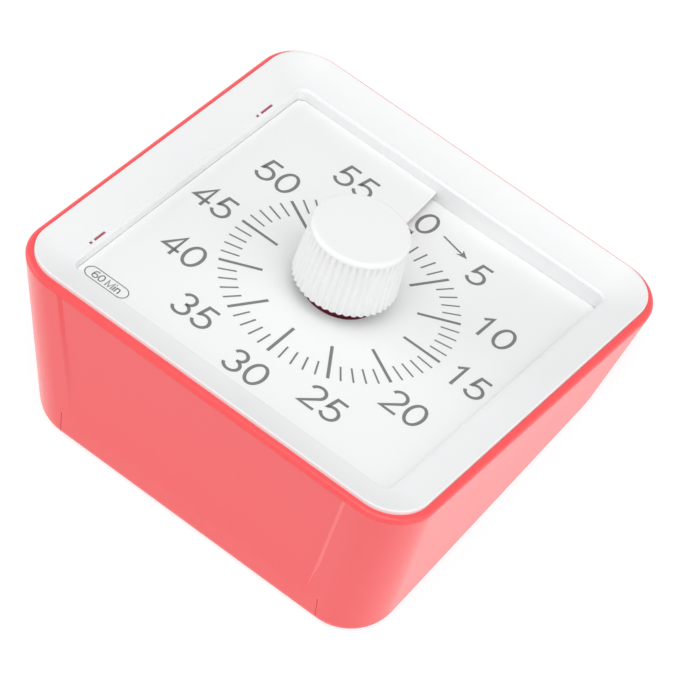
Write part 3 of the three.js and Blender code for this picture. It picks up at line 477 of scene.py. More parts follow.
class StageSettings(PropertyGroup):
    distance: FloatProperty(
        name="Camera distance", description="From the aim point to the camera", default=0.75964, unit="LENGTH")
    azimuth: FloatProperty(
        name="Azimuth", description="Camera's turn to the right of the front", default=math.radians(37.5666),
        subtype="ANGLE")
    elevation: FloatProperty(
        name="Elevation", description="Camera's height above the floor plane", default=math.radians(63.4432),
        subtype="ANGLE")
    roll: FloatProperty(
        name="Roll", description="Camera's turn about its view", default=math.radians(-0.7637), subtype="ANGLE")
    lens: FloatProperty(name="Lens", description="Focal length in millimetres", default=234.06)
    aim: FloatVectorProperty(
        name="Aim", description="Point that the camera looks at", default=(0.0047064, -0.0049110, 0.0205738),
        subtype="TRANSLATION", unit="LENGTH")
    sky: FloatProperty(name="Sky", description="Strength of the even light", default=0.365, min=0)
    top_lamp: FloatProperty(name="Top lamp", description="Power of the lamp overhead in watts", default=5.0, min=0)
    front_lamp: FloatProperty(
        name="Front lamp", description="Power of the lamp in front in watts", default=1.1, min=0)
    left_lamp: FloatProperty(
        name="Left lamp", description="Power of the lamp at the left in watts", default=3.1, min=0)
    right_lamp: FloatProperty(
        name="Right lamp", description="Power of the lamp at the right in watts", default=2.2, min=0)
    lamp_distance: FloatProperty(
        name="Lamp distance", description="From the aim point to each lamp", default=0.9, unit="LENGTH")
    lamp_size: FloatProperty(name="Lamp size", description="Side of each square lamp", default=0.8, unit="LENGTH")


class CaseSettings(PropertyGroup):
    rim_half: FloatProperty(
        name="Rim half width", description="Half of the square rim's side", default=0.0423, unit="LENGTH")
    rim_corner: FloatProperty(
        name="Rim corner", description="Radius of the rim's corners", default=0.0092, unit="LENGTH")
    side_draft: FloatProperty(
        name="Side draft", description="Lean of the side walls", default=math.radians(6.4), subtype="ANGLE")
    base_lean: FloatProperty(
        name="Base lean", description="Lean of the base wall", default=math.radians(15.6), subtype="ANGLE")
    top_lean: FloatProperty(
        name="Top lean", description="Lean of the top wall", default=math.radians(16.7), subtype="ANGLE")
    color: FloatVectorProperty(
        name="Colour", description="Colour of the case", default=(0.95, 0.085, 0.093), subtype="COLOR", size=3)


class DialSettings(PropertyGroup):
    bezel_half: FloatProperty(
        name="Bezel half width", description="Half of the bezel's side", default=0.04094, unit="LENGTH")
    bezel_corner: FloatProperty(
        name="Bezel corner", description="Radius of the bezel's corners", default=0.00775, unit="LENGTH")
    disc_radius: FloatProperty(
        name="Disc radius", description="Radius of the time disc", default=0.0315, unit="LENGTH")
    bezel_color: FloatVectorProperty(
        name="Bezel colour", description="Colour of the bezel", default=(0.86, 0.865, 0.87), subtype="COLOR", size=3)
    plate_color: FloatVectorProperty(
        name="Plate colour", description="Colour of the dial plate", default=(0.88, 0.885, 0.885), subtype="COLOR",
        size=3)
    ink_color: FloatVectorProperty(
        name="Ink colour", description="Colour of the printing", default=(0.19, 0.19, 0.19), subtype="COLOR", size=3)
    # The disc's own colour, also given to the clip tabs as painted shade
    disc_color: FloatVectorProperty(
        name="Disc colour", description="Colour of the time disc", default=(0.44, 0.075, 0.13), subtype="COLOR",
        size=3)


class KnobSettings(PropertyGroup):
    foot_radius: FloatProperty(
        name="Foot radius", description="Radius at the knob's foot", default=0.0095, unit="LENGTH")
    top_radius: FloatProperty(
        name="Top radius", description="Radius at the knob's top", default=0.0088, unit="LENGTH")
    ribs: IntProperty(name="Ribs", description="Number of grip ribs", default=44, min=12)
    rib_depth: FloatProperty(
        name="Rib depth", description="Depth of the grooves between ribs", default=0.00036, unit="LENGTH")
    color: FloatVectorProperty(
        name="Colour", description="Colour of the knob", default=(0.87, 0.873, 0.876), subtype="COLOR", size=3)


# Case

def wall_point(corner, angle, depth, inset):
    case = bpy.context.scene.timer_case
    drop = depth - RIM_DEPTH
    side_x = 1 if corner in (0, 3) else -1
    at_top = corner < 2
    radius = case.rim_corner + (TOP_CORNER_GROWTH * drop if at_top else 0)
    reach = case.rim_half - math.tan(case.top_lean if at_top else case.base_lean) * drop
    x = side_x * (case.rim_half - math.tan(case.side_draft) * drop - radius)
    y = (1 if at_top else -1) * (reach - radius)
    return Vector((x + (radius - inset) * math.cos(angle), y + (radius - inset) * math.sin(angle), -depth))


def back_crossing(corner, angle, inset):
    slope = math.tan(DIAL_TILT)
    start = wall_point(corner, angle, 0, inset)
    run = wall_point(corner, angle, BACK_DEPTH, inset) - start
    return BACK_DEPTH * (BACK_DEPTH - slope * start.y) / (BACK_DEPTH + slope * run.y)


def case_ring(point_at):
    ring = []
    for corner in range(4):
        for step in range(CORNER_STEPS + 1):
            ring.append(DIAL @ point_at(corner, (corner + step / CORNER_STEPS) * math.pi / 2))
    return ring


def rim_ring(turn):
    inset = RIM_ROUND * (1 - math.cos(turn))

    def point_at(corner, angle):
        point = wall_point(corner, angle, RIM_DEPTH, inset)
        point.z = -RIM_DEPTH + RIM_ROUND * math.sin(turn)
        return point

    return case_ring(point_at)


def back_edge_ring(share):
    """The rounded edge between a wall and the flat back, as a curve from the wall to the back."""
    slope = math.tan(DIAL_TILT)

    def point_at(corner, angle):
        edge = wall_point(corner, angle, back_crossing(corner, angle, 0), 0)
        up_wall = (wall_point(corner, angle, 0, 0) - edge).normalized()
        in_plane = Vector((-math.cos(angle), -math.sin(angle), -math.sin(angle) * slope)).normalized()
        tangent = BACK_ROUND / math.tan(up_wall.angle(in_plane) / 2)
        start = edge + up_wall * tangent
        end = edge + in_plane * tangent
        return start.lerp(edge, share).lerp(edge.lerp(end, share), share)

    return case_ring(point_at)


def base_line():
    """Row y of the line where the base wall's plane meets the back plane."""
    down = 3 * math.pi / 2
    return (DIAL @ wall_point(3, down, back_crossing(3, down, 0), 0)).y


def back_ring(half, low, high, radius, rise):
    start = base_line()
    return rounded_ring((-half, low), (half, high), radius, lambda x, s: Vector((x, start + s, rise)))


def outer_rings():
    rings = [rim_ring(step / ROUND_STEPS * math.pi / 2) for step in range(ROUND_STEPS, -1, -1)]
    return rings + [back_edge_ring(step / ROUND_STEPS) for step in range(ROUND_STEPS + 1)]


def inner_seat_ring():
    """The inside of the walls, where it meets the seat of the back cover."""
    ring = []
    for corner in range(4):
        for step in range(CORNER_STEPS + 1):
            angle = (corner + step / CORNER_STEPS) * math.pi / 2
            top = DIAL @ wall_point(corner, angle, FLANGE_FOOT, CASE_WALL)
            foot = DIAL @ wall_point(corner, angle, back_crossing(corner, angle, CASE_WALL), CASE_WALL)
            ring.append(top.lerp(foot, (top.z - SEAT_INSIDE) / (top.z - foot.z)))
    return ring


def pocket_ring(inset, z):
    case = bpy.context.scene.timer_case
    half = case.rim_half - inset
    return square_ring(half, case.rim_corner - inset, z)


def groove_ring(share, sink):
    """One edge of the fine groove between the rim band and the walls."""
    depth = RIM_DEPTH + GROOVE_GAP + GROOVE_WIDTH * share
    return case_ring(lambda corner, angle: wall_point(corner, angle, depth, GROOVE_DEPTH * sink))


def model_case_body():
    rim_face = RIM_ROUND - RIM_DEPTH
    rings = [
        back_ring(COVER_HALF, COVER_LOW, COVER_HIGH, COVER_CORNER, SEAT_FACE),
        back_ring(COVER_HALF, COVER_LOW, COVER_HIGH, COVER_CORNER, SEAM_ROUND),
        back_ring(COVER_HALF + SEAM_ROUND, COVER_LOW - SEAM_ROUND, COVER_HIGH + SEAM_ROUND, COVER_CORNER, 0),
    ]
    outer = outer_rings()
    rings += outer[:ROUND_STEPS:-1]
    rings += [groove_ring(share, sink) for share, sink in ((1, 0), (0.75, 1), (0.25, 1), (0, 0))]
    rings += outer[ROUND_STEPS::-1]
    rings += [
        pocket_ring(POCKET_INSET - SEAM_ROUND, rim_face),
        pocket_ring(POCKET_INSET - SEAM_ROUND * 0.3, rim_face - SEAM_ROUND * 0.3),
        pocket_ring(POCKET_INSET, rim_face - SEAM_ROUND),
        pocket_ring(POCKET_INSET, -POCKET_DEPTH),
        pocket_ring(FLANGE_INSET, -POCKET_DEPTH),
        pocket_ring(FLANGE_INSET, -FLANGE_FOOT),
        case_ring(lambda corner, angle: wall_point(corner, angle, FLANGE_FOOT, CASE_WALL)),
        inner_seat_ring(),
        back_ring(SEAT_HALF, SEAT_LOW, SEAT_HIGH, SEAT_CORNER, SEAT_INSIDE),
        back_ring(SEAT_HALF, SEAT_LOW, SEAT_HIGH, SEAT_CORNER, SEAT_FACE),
    ]
    return lofted("case_body", rings, closed=True)


def base_panel_cutter():
    """A slab with sloped sides that sinks the panel into the base wall and runs out at its foot."""
    lean = bpy.context.scene.timer_case.base_lean
    seat = wall_point(3, 3 * math.pi / 2, PANEL_TOP_DEPTH, 0)
    wall = DIAL @ Matrix.Translation((0, seat.y, seat.z)) @ Matrix((
        (1, 0, 0, 0),
        (0, -math.tan(lean), -math.cos(lean), 0),
        (0, 1, -math.sin(lean), 0),
        (0, 0, 0, 1),
    ))
    run = PANEL_FOOT_DEPTH - PANEL_TOP_DEPTH
    rings = []
    for down, sink in ((0, PANEL_SINK), (run - PANEL_RUN_OUT, PANEL_SINK), (run, 0)):
        half = PANEL_TOP_HALF + (PANEL_FOOT_HALF - PANEL_TOP_HALF) * down / run
        inner = half - PANEL_SLOPE
        outline = (
            (half, PANEL_CLEAR), (half, MM), (-half, MM), (-half, PANEL_CLEAR),
            (-inner, PANEL_CLEAR - sink), (inner, PANEL_CLEAR - sink),
        )
        rings.append([wall @ Vector((x, -down, out)) for x, out in outline])
    return lofted("panel_cutter", rings)


def notch_block():
    start = base_line()
    low = (-DOOR_HALF - DOOR_GAP, start - DOOR_OVERREACH, -MM)
    high = (DOOR_HALF + DOOR_GAP, start + SEAT_LOW + MM, LIP_RISE + DOOR_SEAM)
    return box_between("door_notch", low, high)


def model_case():
    case = model_case_body()
    cut(case, base_panel_cutter())
    cut(case, notch_block())
    smooth(case, CASE_SMOOTH_ANGLE)
    settle(case, "root", FINISHES["case"], ["body_shell"])


def model_door():
    """The battery door: a plate in the back and a lip that closes the foot of the base wall."""
    start = base_line()
    down = 3 * math.pi / 2
    upper = DIAL @ wall_point(3, down, RIM_DEPTH, 0)
    slope = (upper.y - start) / upper.z
    inside = DOOR_FACE + DOOR_THICK

    def lip_at(rise):
        return slope * rise + LIP_THICK

    outline = (
        (-DOOR_OVERREACH, DOOR_FACE), (DOOR_END, DOOR_FACE), (DOOR_END, inside),
        (lip_at(inside), inside), (lip_at(LIP_RISE), LIP_RISE), (-DOOR_OVERREACH, LIP_RISE),
    )
    rings = [[Vector((x, start + s, n)) for s, n in outline] for x in (-DOOR_HALF, DOOR_HALF)]
    door = lofted("battery_door_cap", rings)
    form = lofted("outer_form", outer_rings())
    cut(door, form, "INTERSECT")
    outward(door)
    apply_modifier(door, "BEVEL", width=DOOR_SEAM * 2, segments=2, limit_method="ANGLE", angle_limit=math.radians(50))
    smooth(door)
    settle(door, "battery_door", FINISHES["case"], ["battery_door"])


# Bezel

def window_ring(grow, z):
    return square_ring(WINDOW_HALF + grow, WINDOW_CORNER + grow, z)


def model_bezel():
    dial = bpy.context.scene.timer_dial
    outer = (dial.bezel_half, dial.bezel_corner)
    rings = [window_ring(0, BEZEL_FOOT), window_ring(0, WALL_TOP - EDGE_SOFT)]
    for step in range(1, 4):
        turn = step / 3 * math.pi / 2
        rings.append(window_ring(EDGE_SOFT * (1 - math.cos(turn)), WALL_TOP + EDGE_SOFT * (math.sin(turn) - 1)))
    rings += [
        window_ring(LEDGE_WIDTH, LEDGE_LEVEL),
        window_ring(LEDGE_WIDTH + LEDGE_STEP * 0.3, LEDGE_LEVEL + LEDGE_STEP),
    ]
    first = (WINDOW_HALF + LEDGE_WIDTH + LEDGE_STEP, WINDOW_CORNER + LEDGE_WIDTH, LEDGE_LEVEL + LEDGE_STEP)
    last = (outer[0] - BEZEL_EDGE, outer[1] - BEZEL_EDGE, 0)
    for share in (0, 0.08, 0.2, 0.4, 0.6, 0.8, 0.93, 1):
        half, corner, z = (start + (end - start) * share for start, end in zip(first, last))
        rings.append(square_ring(half, corner, z - DISH_SAG * math.sin(math.pi * share)))
    for step in range(1, 5):
        turn = step / 4 * math.pi / 2
        grow = BEZEL_EDGE * math.sin(turn)
        rings.append(square_ring(last[0] + grow, last[1] + grow, BEZEL_EDGE * (math.cos(turn) - 1)))
    rings += [
        square_ring(*outer, BEZEL_SKIRT),
        window_ring(BEZEL_WALL * 2, BEZEL_SKIRT),
        window_ring(BEZEL_WALL, BEZEL_SKIRT - BEZEL_WALL),
        window_ring(BEZEL_WALL, BEZEL_FOOT),
    ]
    bezel = lofted("dished_bezel", rings, closed=True)
    for low, high in SLOT_SPANS:
        cut(bezel, slot_block("clip_slot", low, high, SLOT_WIDTH / 2, MM))
    smooth(bezel, SHARP_ANGLE)
    settle(bezel, "root", FINISHES["bezel"], ["bezel"])


def slot_block(name, low, high, half, top):
    """A block along the left side of the bezel that starts below its dish."""
    foot = (SLOT_X - half, low, LEDGE_LEVEL - SLOT_DEPTH)
    return box_between(name, foot, (SLOT_X + half, high, top), DIAL)


def model_clips():
    """Tabs of the inner frame that show in the slots beside the window, coloured with the disc's maroon as painted
    shade of the clips in the dark slots.
    """
    half = SLOT_WIDTH / 2 - TAB_SOFT
    tabs = [
        slot_block("clip_tab", low + TAB_SOFT, high - TAB_SOFT, half, LEDGE_LEVEL + LEDGE_STEP - SLOT_SINK)
        for low, high in SLOT_SPANS
    ]
    clips = joined("clip_tabs", tabs)
    apply_modifier(clips, "BEVEL", width=TAB_SOFT, segments=2)
    smooth(clips)
    # painted shade: the tabs take the disc's dark maroon in place of the shadow that falls on the clips in the slots
    settle(clips, "root", FINISHES["disc"])


# Dial plate

def dip_at(angle):
    return SLIT_STEP * math.exp(-((max(angle, 0) / DIP_FADE) ** DIP_POWER))


def plate_top(angle):
    turned = (angle - SLIT_ANGLE) % 360 + SLIT_ANGLE
    return PLATE_LEVEL - dip_at(turned)


def clock_point(radius, angle, z):
    turn = math.radians(angle)
    return dial_point(radius * math.sin(turn), radius * math.cos(turn), z)


def window_reach(angle):
    """Distance from the centre to the plate's rounded square edge."""
    across = abs(math.sin(math.radians(angle)))
    along = abs(math.cos(math.radians(angle)))
    half = WINDOW_HALF - PLATE_GAP
    reach = half / max(across, along)
    radius = WINDOW_CORNER - PLATE_GAP
    centre = half - radius
    if min(across, along) * reach > centre:
        middle = (across + along) * centre
        reach = middle + math.sqrt(middle ** 2 - 2 * centre ** 2 + radius ** 2)
    return reach


def model_plate():
    """The dial plate as one turn of sections, its two flaps lapping at the slit."""
    start = SLIT_ANGLE - SLIT_LAP
    rings = []
    for step in range(PLATE_STEPS + 1):
        angle = start + (360 + SLIT_LAP) * step / PLATE_STEPS
        top = PLATE_LEVEL - dip_at(angle)
        reach = window_reach(angle)
        outline = (
            (PLATE_HOLE, top - PLATE_SOFT), (PLATE_HOLE + PLATE_SOFT, top),
            (reach - PLATE_SOFT, top), (reach, top - PLATE_SOFT),
            (reach, top - PLATE_THICK), (PLATE_HOLE, top - PLATE_THICK),
        )
        rings.append([clock_point(radius, angle, z) for radius, z in outline])
    plate = lofted("split_dial_plate", rings)
    low = PLATE_LEVEL - SLIT_STEP - PLATE_THICK - MM
    notch = box_between(
        "plate_notch", (NOTCH_LEFT, 0, low), (NOTCH_RIGHT, NOTCH_REACH, PLATE_LEVEL - SLIT_STEP / 2), DIAL)
    cut(plate, notch)
    smooth(plate, SHARP_ANGLE)
    settle(plate, "root", FINISHES["plate"], ["dial_plate"])


def model_disc():
    dial = bpy.context.scene.timer_dial
    rings = []
    for step in range(DISC_STEPS + 1):
        angle = SLIT_ANGLE - DISC_HIDE + 360 * step / DISC_STEPS
        bottom = DISC_LEVEL - DISC_LEAD + DISC_LEAD * angle / 360
        outline = ((DISC_ROOT, 0), (dial.disc_radius, 0), (dial.disc_radius, DISC_THICK), (DISC_ROOT, DISC_THICK))
        rings.append([clock_point(radius, angle, bottom + rise) for radius, rise in outline])
    disc = lofted("helical_disc", rings)
    profile = (
        (SPINDLE_BORE, COLLAR_BASE), (COLLAR_RADIUS, COLLAR_BASE),
        (COLLAR_RADIUS, COLLAR_TOP - COLLAR_EDGE), (COLLAR_RADIUS - COLLAR_EDGE, COLLAR_TOP),
        (SPINDLE_BORE, COLLAR_TOP),
    )
    turns = [360 * step / COLLAR_STEPS for step in range(COLLAR_STEPS)]
    rings = [[clock_point(radius, turn, z) for turn in turns] for radius, z in profile]
    collar = lofted("collar", rings, closed=True)
    cut(disc, collar, "UNION")
    smooth(disc, SHARP_ANGLE)
    settle(disc, "disc", FINISHES["disc"], ["time_disc"])


# Knob

def knob_ring(radius, rib, z):
    knob = bpy.context.scene.timer_knob
    count = knob.ribs * RIB_POINTS
    ring = []
    for step in range(count):
        turn = 2 * math.pi * step / count
        wave = (0.5 - 0.5 * math.cos(knob.ribs * turn)) ** 0.7
        reach = radius - rib * (1 - wave)
        ring.append(dial_point(reach * math.cos(turn), reach * math.sin(turn), z))
    return ring


def model_knob():
    knob = bpy.context.scene.timer_knob
    height = KNOB_TOP - KNOB_ROUND - KNOB_BASE

    def radius_at(z):
        return knob.foot_radius - (knob.foot_radius - knob.top_radius) * (z - KNOB_BASE) / height

    cavity = knob.foot_radius - KNOB_WALL
    depth = knob.rib_depth
    band_foot = KNOB_TOP - KNOB_ROUND - KNOB_BAND
    rings = [
        knob_ring(cavity, 0, KNOB_ROOF),
        knob_ring(cavity, 0, KNOB_BASE + KNOB_EDGE),
        knob_ring(cavity + KNOB_EDGE, 0, KNOB_BASE),
        knob_ring(knob.foot_radius - KNOB_EDGE, depth, KNOB_BASE),
        knob_ring(knob.foot_radius, depth, KNOB_BASE + KNOB_EDGE),
    ]
    for share in (0.25, 0.5, 0.75, 1):
        z = KNOB_BASE + (band_foot - KNOB_BASE) * share
        rings.append(knob_ring(radius_at(z), depth * (1 - 0.3 * share), z))
    rings.append(knob_ring(radius_at(band_foot + KNOB_BAND * 0.4), depth * 0.2, band_foot + KNOB_BAND * 0.4))
    rings.append(knob_ring(radius_at(band_foot + KNOB_BAND * 0.7), 0, band_foot + KNOB_BAND * 0.7))
    for step in range(9):
        turn = step / 8 * math.pi / 2
        radius = knob.top_radius - KNOB_ROUND * (1 - math.cos(turn))
        rings.append(knob_ring(radius, 0, KNOB_TOP - KNOB_ROUND + KNOB_ROUND * math.sin(turn)))
    piece = lofted("ribbed_knob", rings)
    smooth(piece, KNOB_SMOOTH_ANGLE)
    settle(piece, "knob", FINISHES["knob"], ["knob"])


# Back

def model_cover_screw(index):
    """A screw of the back cover with a cross recess in its head."""
    name = f"cover_screw_{index}"
    node = frame["nodes"][name]
    corners = [vertex.co for vertex in node.data.vertices]
    low = Vector(tuple(min(corner[axis] for corner in corners) for axis in range(3)))
    high = Vector(tuple(max(corner[axis] for corner in corners) for axis in range(3)))
    screw = node.copy()
    screw.data = node.data.copy()
    screw.name = f"cross_head_screw_{index}"
    bpy.context.scene.collection.objects.link(screw)
    outward(screw)
    centre = (low + high) / 2
    for half_x, half_y in ((CROSS_REACH, CROSS_HALF), (CROSS_HALF, CROSS_REACH)):
        foot = (centre.x - half_x, centre.y - half_y, low.z - MM)
        cut(screw, box_between("cross", foot, (centre.x + half_x, centre.y + half_y, low.z + CROSS_DEPTH)))
    limit = math.radians(SCREW_BEVEL_ANGLE)
    apply_modifier(screw, "BEVEL", width=SCREW_SOFT, segments=2, limit_method="ANGLE", angle_limit=limit)
    smooth(screw, SHARP_ANGLE)
    settle(screw, "root", FINISHES["steel"], [name])


# Printing

def ribbon(points, width):
    """A flat stroke along points in the dial plane."""
    deselect()
    bpy.ops.mesh.primitive_grid_add(x_subdivisions=len(points) - 1, y_subdivisions=1, size=MM)
    piece = bpy.context.object
    vertices = sorted(piece.data.vertices, key=lambda v: (round(v.co.x, 7), round(v.co.y, 7)))
    for i, point in enumerate(points):
        before = points[max(i - 1, 0)]
        after = points[min(i + 1, len(points) - 1)]
        into = (Vector(point) - Vector(before)).normalized() if i else (Vector(after) - Vector(point)).normalized()
        away = (Vector(after) - Vector(point)).normalized() if i < len(points) - 1 else into
        middle = (into + away).normalized()
        stretch = 1 / max(middle.dot(into), 0.5)
        side = Vector((-middle.y, middle.x)) * width / 2 * stretch
        low, high = vertices[2 * i], vertices[2 * i + 1]
        low.co = (*(Vector(point) - side), 0)
        high.co = (*(Vector(point) + side), 0)
    return piece


def arc(centre, radii, start, end, steps=18):
    points = []
    for step in range(steps + 1):
        turn = math.radians(start + (end - start) * step / steps)
        points.append((centre[0] + radii[0] * math.cos(turn), centre[1] + radii[1] * math.sin(turn)))
    return points


# Each sign's width and strokes, in a box one unit high from its foot at (0, 0)
GLYPHS = {
    "0": (0.62, [arc((0.31, 0.5), (0.27, 0.46), 90, 450, 40)]),
    "1": (0.62, [[(0.12, 0.76), (0.34, 0.97), (0.34, 0)]]),
    "2": (0.62, [arc((0.31, 0.7), (0.25, 0.26), 165, -38, 20) + [(0.05, 0.04), (0.6, 0.04)]]),
    "3": (0.62, [arc((0.29, 0.73), (0.22, 0.23), 165, -88, 20), arc((0.29, 0.27), (0.26, 0.24), 88, -165, 22)]),
    "4": (0.62, [[(0.44, 0), (0.44, 0.96), (0.04, 0.28), (0.62, 0.28)]]),
    "5": (0.62, [[(0.54, 0.95), (0.17, 0.95), (0.1, 0.5)] + arc((0.3, 0.31), (0.27, 0.28), 137, -158, 24)]),
    "6": (0.62, [arc((0.34, 0.5), (0.3, 0.46), 55, 180, 14) + arc((0.32, 0.3), (0.28, 0.27), 180, 540, 30)]),
    "M": (0.8, [[(0.06, 0), (0.06, 0.97), (0.4, 0.06), (0.74, 0.97), (0.74, 0)]]),
    "i": (0.14, [[(0.07, 0), (0.07, 0.7)], [(0.07, 0.88), (0.07, 1)]]),
    "n": (0.5, [[(0.06, 0), (0.06, 0.72)], arc((0.26, 0.46), (0.2, 0.22), 170, 0, 12) + [(0.46, 0)]]),
    " ": (0.14, []),
}


def lettering(text, centre, height, stroke):
    """Signs in light strokes, upright on the dial and centred on a point."""
    total = sum(GLYPHS[sign][0] + GLYPH_GAP for sign in text) - GLYPH_GAP
    shift = -total / 2
    pieces = []
    for sign in text:
        width, strokes = GLYPHS[sign]
        for points in strokes:
            placed = [(centre[0] + (x + shift) * height, centre[1] + (y - 0.5) * height) for x, y in points]
            pieces.append(ribbon(placed, stroke))
        shift += width + GLYPH_GAP
    return pieces


def flat_outline(points):
    """A flat face with the given corners in the dial plane."""
    deselect()
    bpy.ops.mesh.primitive_circle_add(vertices=len(points), radius=MM, fill_type="NGON")
    piece = bpy.context.object
    for vertex, point in zip(piece.data.vertices, points):
        vertex.co = (*point, 0)
    return piece


def lay_print(name, pieces):
    """Joins flat strokes, lays them on the plate and gives them the thickness of ink."""
    piece = joined(name, pieces)
    for vertex in piece.data.vertices:
        x, y = vertex.co.x, vertex.co.y
        angle = math.degrees(math.atan2(x, y))
        vertex.co = dial_point(x, y, plate_top(angle) + INK_LIFT)
    apply_modifier(piece, "WELD", merge_threshold=INK_WELD)
    apply_modifier(piece, "SOLIDIFY", thickness=INK_THICK, offset=1)
    settle(piece, "root", FINISHES["ink"])


def model_minute_marks():
    ticks = []
    for minute in range(60):
        long_tick = minute % 5 == 0
        turn = math.radians(minute * 6)
        inner = LONG_TICK_INNER if long_tick else TICK_INNER
        points = [(radius * math.sin(turn), radius * math.cos(turn)) for radius in (inner, TICK_OUTER)]
        ticks.append(ribbon(points, LONG_TICK_WIDTH if long_tick else TICK_WIDTH))
    lay_print("minute_marks", ticks)


def model_numerals():
    pieces = []
    for minute in range(0, 60, 5):
        turn = math.radians(minute * 6)
        centre = (NUMERAL_RADIUS * math.sin(turn), NUMERAL_RADIUS * math.cos(turn))
        pieces += lettering(str(minute), centre, DIGIT_HEIGHT, DIGIT_STROKE)
    lay_print("numerals", pieces)


def model_arrow():
    """The arrow from 0 towards 5, with swept barbs."""
    tail, tip = Vector(ARROW_TAIL), Vector(ARROW_TIP)
    along = (tip - tail).normalized()
    side = Vector((-along.y, along.x)) * BARB_HALF
    notch = tip - along * BARB_NOTCH
    back = tip - along * BARB_BACK
    head = flat_outline([tip, back + side, notch, back - side])
    lay_print("arrow", [ribbon([tuple(tail), tuple(notch)], ARROW_WIDTH), head])


def model_badge():
    """The pill with the dial's range, in the plate's low left corner."""
    x, y = BADGE_CENTRE
    half = BADGE_HALF - BADGE_RADIUS
    ends = (BADGE_RADIUS, BADGE_RADIUS)
    path = [(x, y + BADGE_RADIUS)] + arc((x - half, y), ends, 90, 270) + arc((x + half, y), ends, -90, 90)
    path.append(path[0])
    text = lettering("60 Min", BADGE_CENTRE, BADGE_TEXT, BADGE_STROKE)
    lay_print("range_badge", [ribbon(path, BADGE_LINE), *text])


class TIMER_OT_finishes(Operator):
    """Builds the shader groups and the finishes"""
    bl_idname = "timer.finishes"
    bl_label = "Finishes"

    def execute(self, context):
        scene = context.scene
        GROUPS["mould_grain"] = mould_grain()
        GROUPS["tint_drift"] = tint_drift()
        FINISHES["case"] = moulded("coral_gloss_plastic", scene.timer_case.color, 0.22, drift=0.02, ior=1.42)
        FINISHES["bezel"] = moulded("white_bezel_plastic", scene.timer_dial.bezel_color, 0.35)
        FINISHES["plate"] = moulded("white_dial_sheet", scene.timer_dial.plate_color, 0.5, 14000)
        FINISHES["ink"] = moulded("grey_ink", scene.timer_dial.ink_color, 0.6)
        # The disc's own maroon, also put on the clip tabs as painted shade
        FINISHES["disc"] = moulded("maroon_sheet", scene.timer_dial.disc_color, 0.4)
        FINISHES["knob"] = moulded("white_knob_plastic", scene.timer_knob.color, 0.42)
        FINISHES["inner"] = moulded("grey_inner_plastic", (0.58, 0.59, 0.6), 0.5)
        FINISHES["black"] = moulded("black_plastic", (0.02, 0.02, 0.023), 0.4)
        FINISHES["steel"] = moulded("plated_steel", (0.62, 0.63, 0.64), 0.28, 4000, metallic=1.0)
        FINISHES["brass"] = moulded("stamped_brass", (0.68, 0.47, 0.16), 0.3, 4000, metallic=1.0)
        FINISHES["copper"] = moulded("copper_winding", (0.62, 0.2, 0.08), 0.35, 2500, 0.05 * MM, metallic=1.0)
        FINISHES["board"] = moulded("green_board", (0.02, 0.16, 0.06), 0.35)
        FINISHES["cell"] = moulded("cell_wrap", (0.28, 0.3, 0.32), 0.3)
        return {"FINISHED"}


class TIMER_OT_case(Operator):
    """Models the coral case and the battery door"""
    bl_idname = "timer.case"
    bl_label = "Case and door"

    def execute(self, context):
        model_case()
        model_door()
        return {"FINISHED"}


class TIMER_OT_bezel(Operator):
    """Models the dished white bezel and the clips beside its window, the clips in maroon as painted shade"""
    bl_idname = "timer.bezel"
    bl_label = "Bezel"

    def execute(self, context):
        model_bezel()
        model_clips()
        return {"FINISHED"}


class TIMER_OT_dial(Operator):
    """Models the split dial plate and the helical disc"""
    bl_idname = "timer.dial"
    bl_label = "Dial plate and disc"

    def execute(self, context):
        model_plate()
        model_disc()
        return {"FINISHED"}


class TIMER_OT_printing(Operator):
    """Lays the minute marks, numerals, arrow and badge on the dial"""
    bl_idname = "timer.printing"
    bl_label = "Printing"

    def execute(self, context):
        model_minute_marks()
        model_numerals()
        model_arrow()
        model_badge()
        return {"FINISHED"}


class TIMER_OT_knob(Operator):
    """Models the ribbed setting knob"""
    bl_idname = "timer.knob"
    bl_label = "Knob"

    def execute(self, context):
        model_knob()
        return {"FINISHED"}


class TIMER_OT_cover_screws(Operator):
    """Models the cross recesses of the back cover's screws"""
    bl_idname = "timer.cover_screws"
    bl_label = "Cover screws"

    def execute(self, context):
        for index in range(1, COVER_SCREWS + 1):
            model_cover_screw(index)
        return {"FINISHED"}


class TIMER_OT_inner_parts(Operator):
    """Gives the movement, battery, back and other kept nodes their finishes"""
    bl_idname = "timer.inner_parts"
    bl_label = "Inner parts"

    def execute(self, context):
        slots = {part["node"]: part["material_slot"] for part in frame["record"]["subparts"]}
        finish_of_slot = {"frame": "bezel", "dial": "plate"}
        for node, piece in frame["nodes"].items():
            finish = finish_of_slot.get(slots[node], slots[node])
            piece.data.materials.clear()
            piece.data.materials.append(FINISHES[finish])
        return {"FINISHED"}


class TIMER_OT_stage(Operator):
    """Sets the floor, the even light, the soft lamps and the camera"""
    bl_idname = "timer.stage"
    bl_label = "Stage"

    def execute(self, context):
        stage = context.scene.timer_stage
        context.scene.view_settings.view_transform = "Standard"
        build_floor()
        build_sky(stage.sky)
        for name, (azimuth, elevation) in LAMPS.items():
            build_lamp(stage, name, azimuth, elevation)
        build_camera(stage)
        return {"FINISHED"}


def camera_rays(nodes, links):
    """1 for rays from the camera and those that it sees mirrored or through glass."""
    rays = nodes.new("ShaderNodeLightPath")
    seen = nodes.new("ShaderNodeMath")
    seen.operation = "MAXIMUM"
    links.new(rays.outputs["Is Camera Ray"], seen.inputs[0])
    links.new(rays.outputs["Is Glossy Ray"], seen.inputs[1])
    with_glass = nodes.new("ShaderNodeMath")
    with_glass.operation = "MAXIMUM"
    links.new(seen.outputs[0], with_glass.inputs[0])
    links.new(rays.outputs["Is Transmission Ray"], with_glass.inputs[1])
    return with_glass.outputs[0]


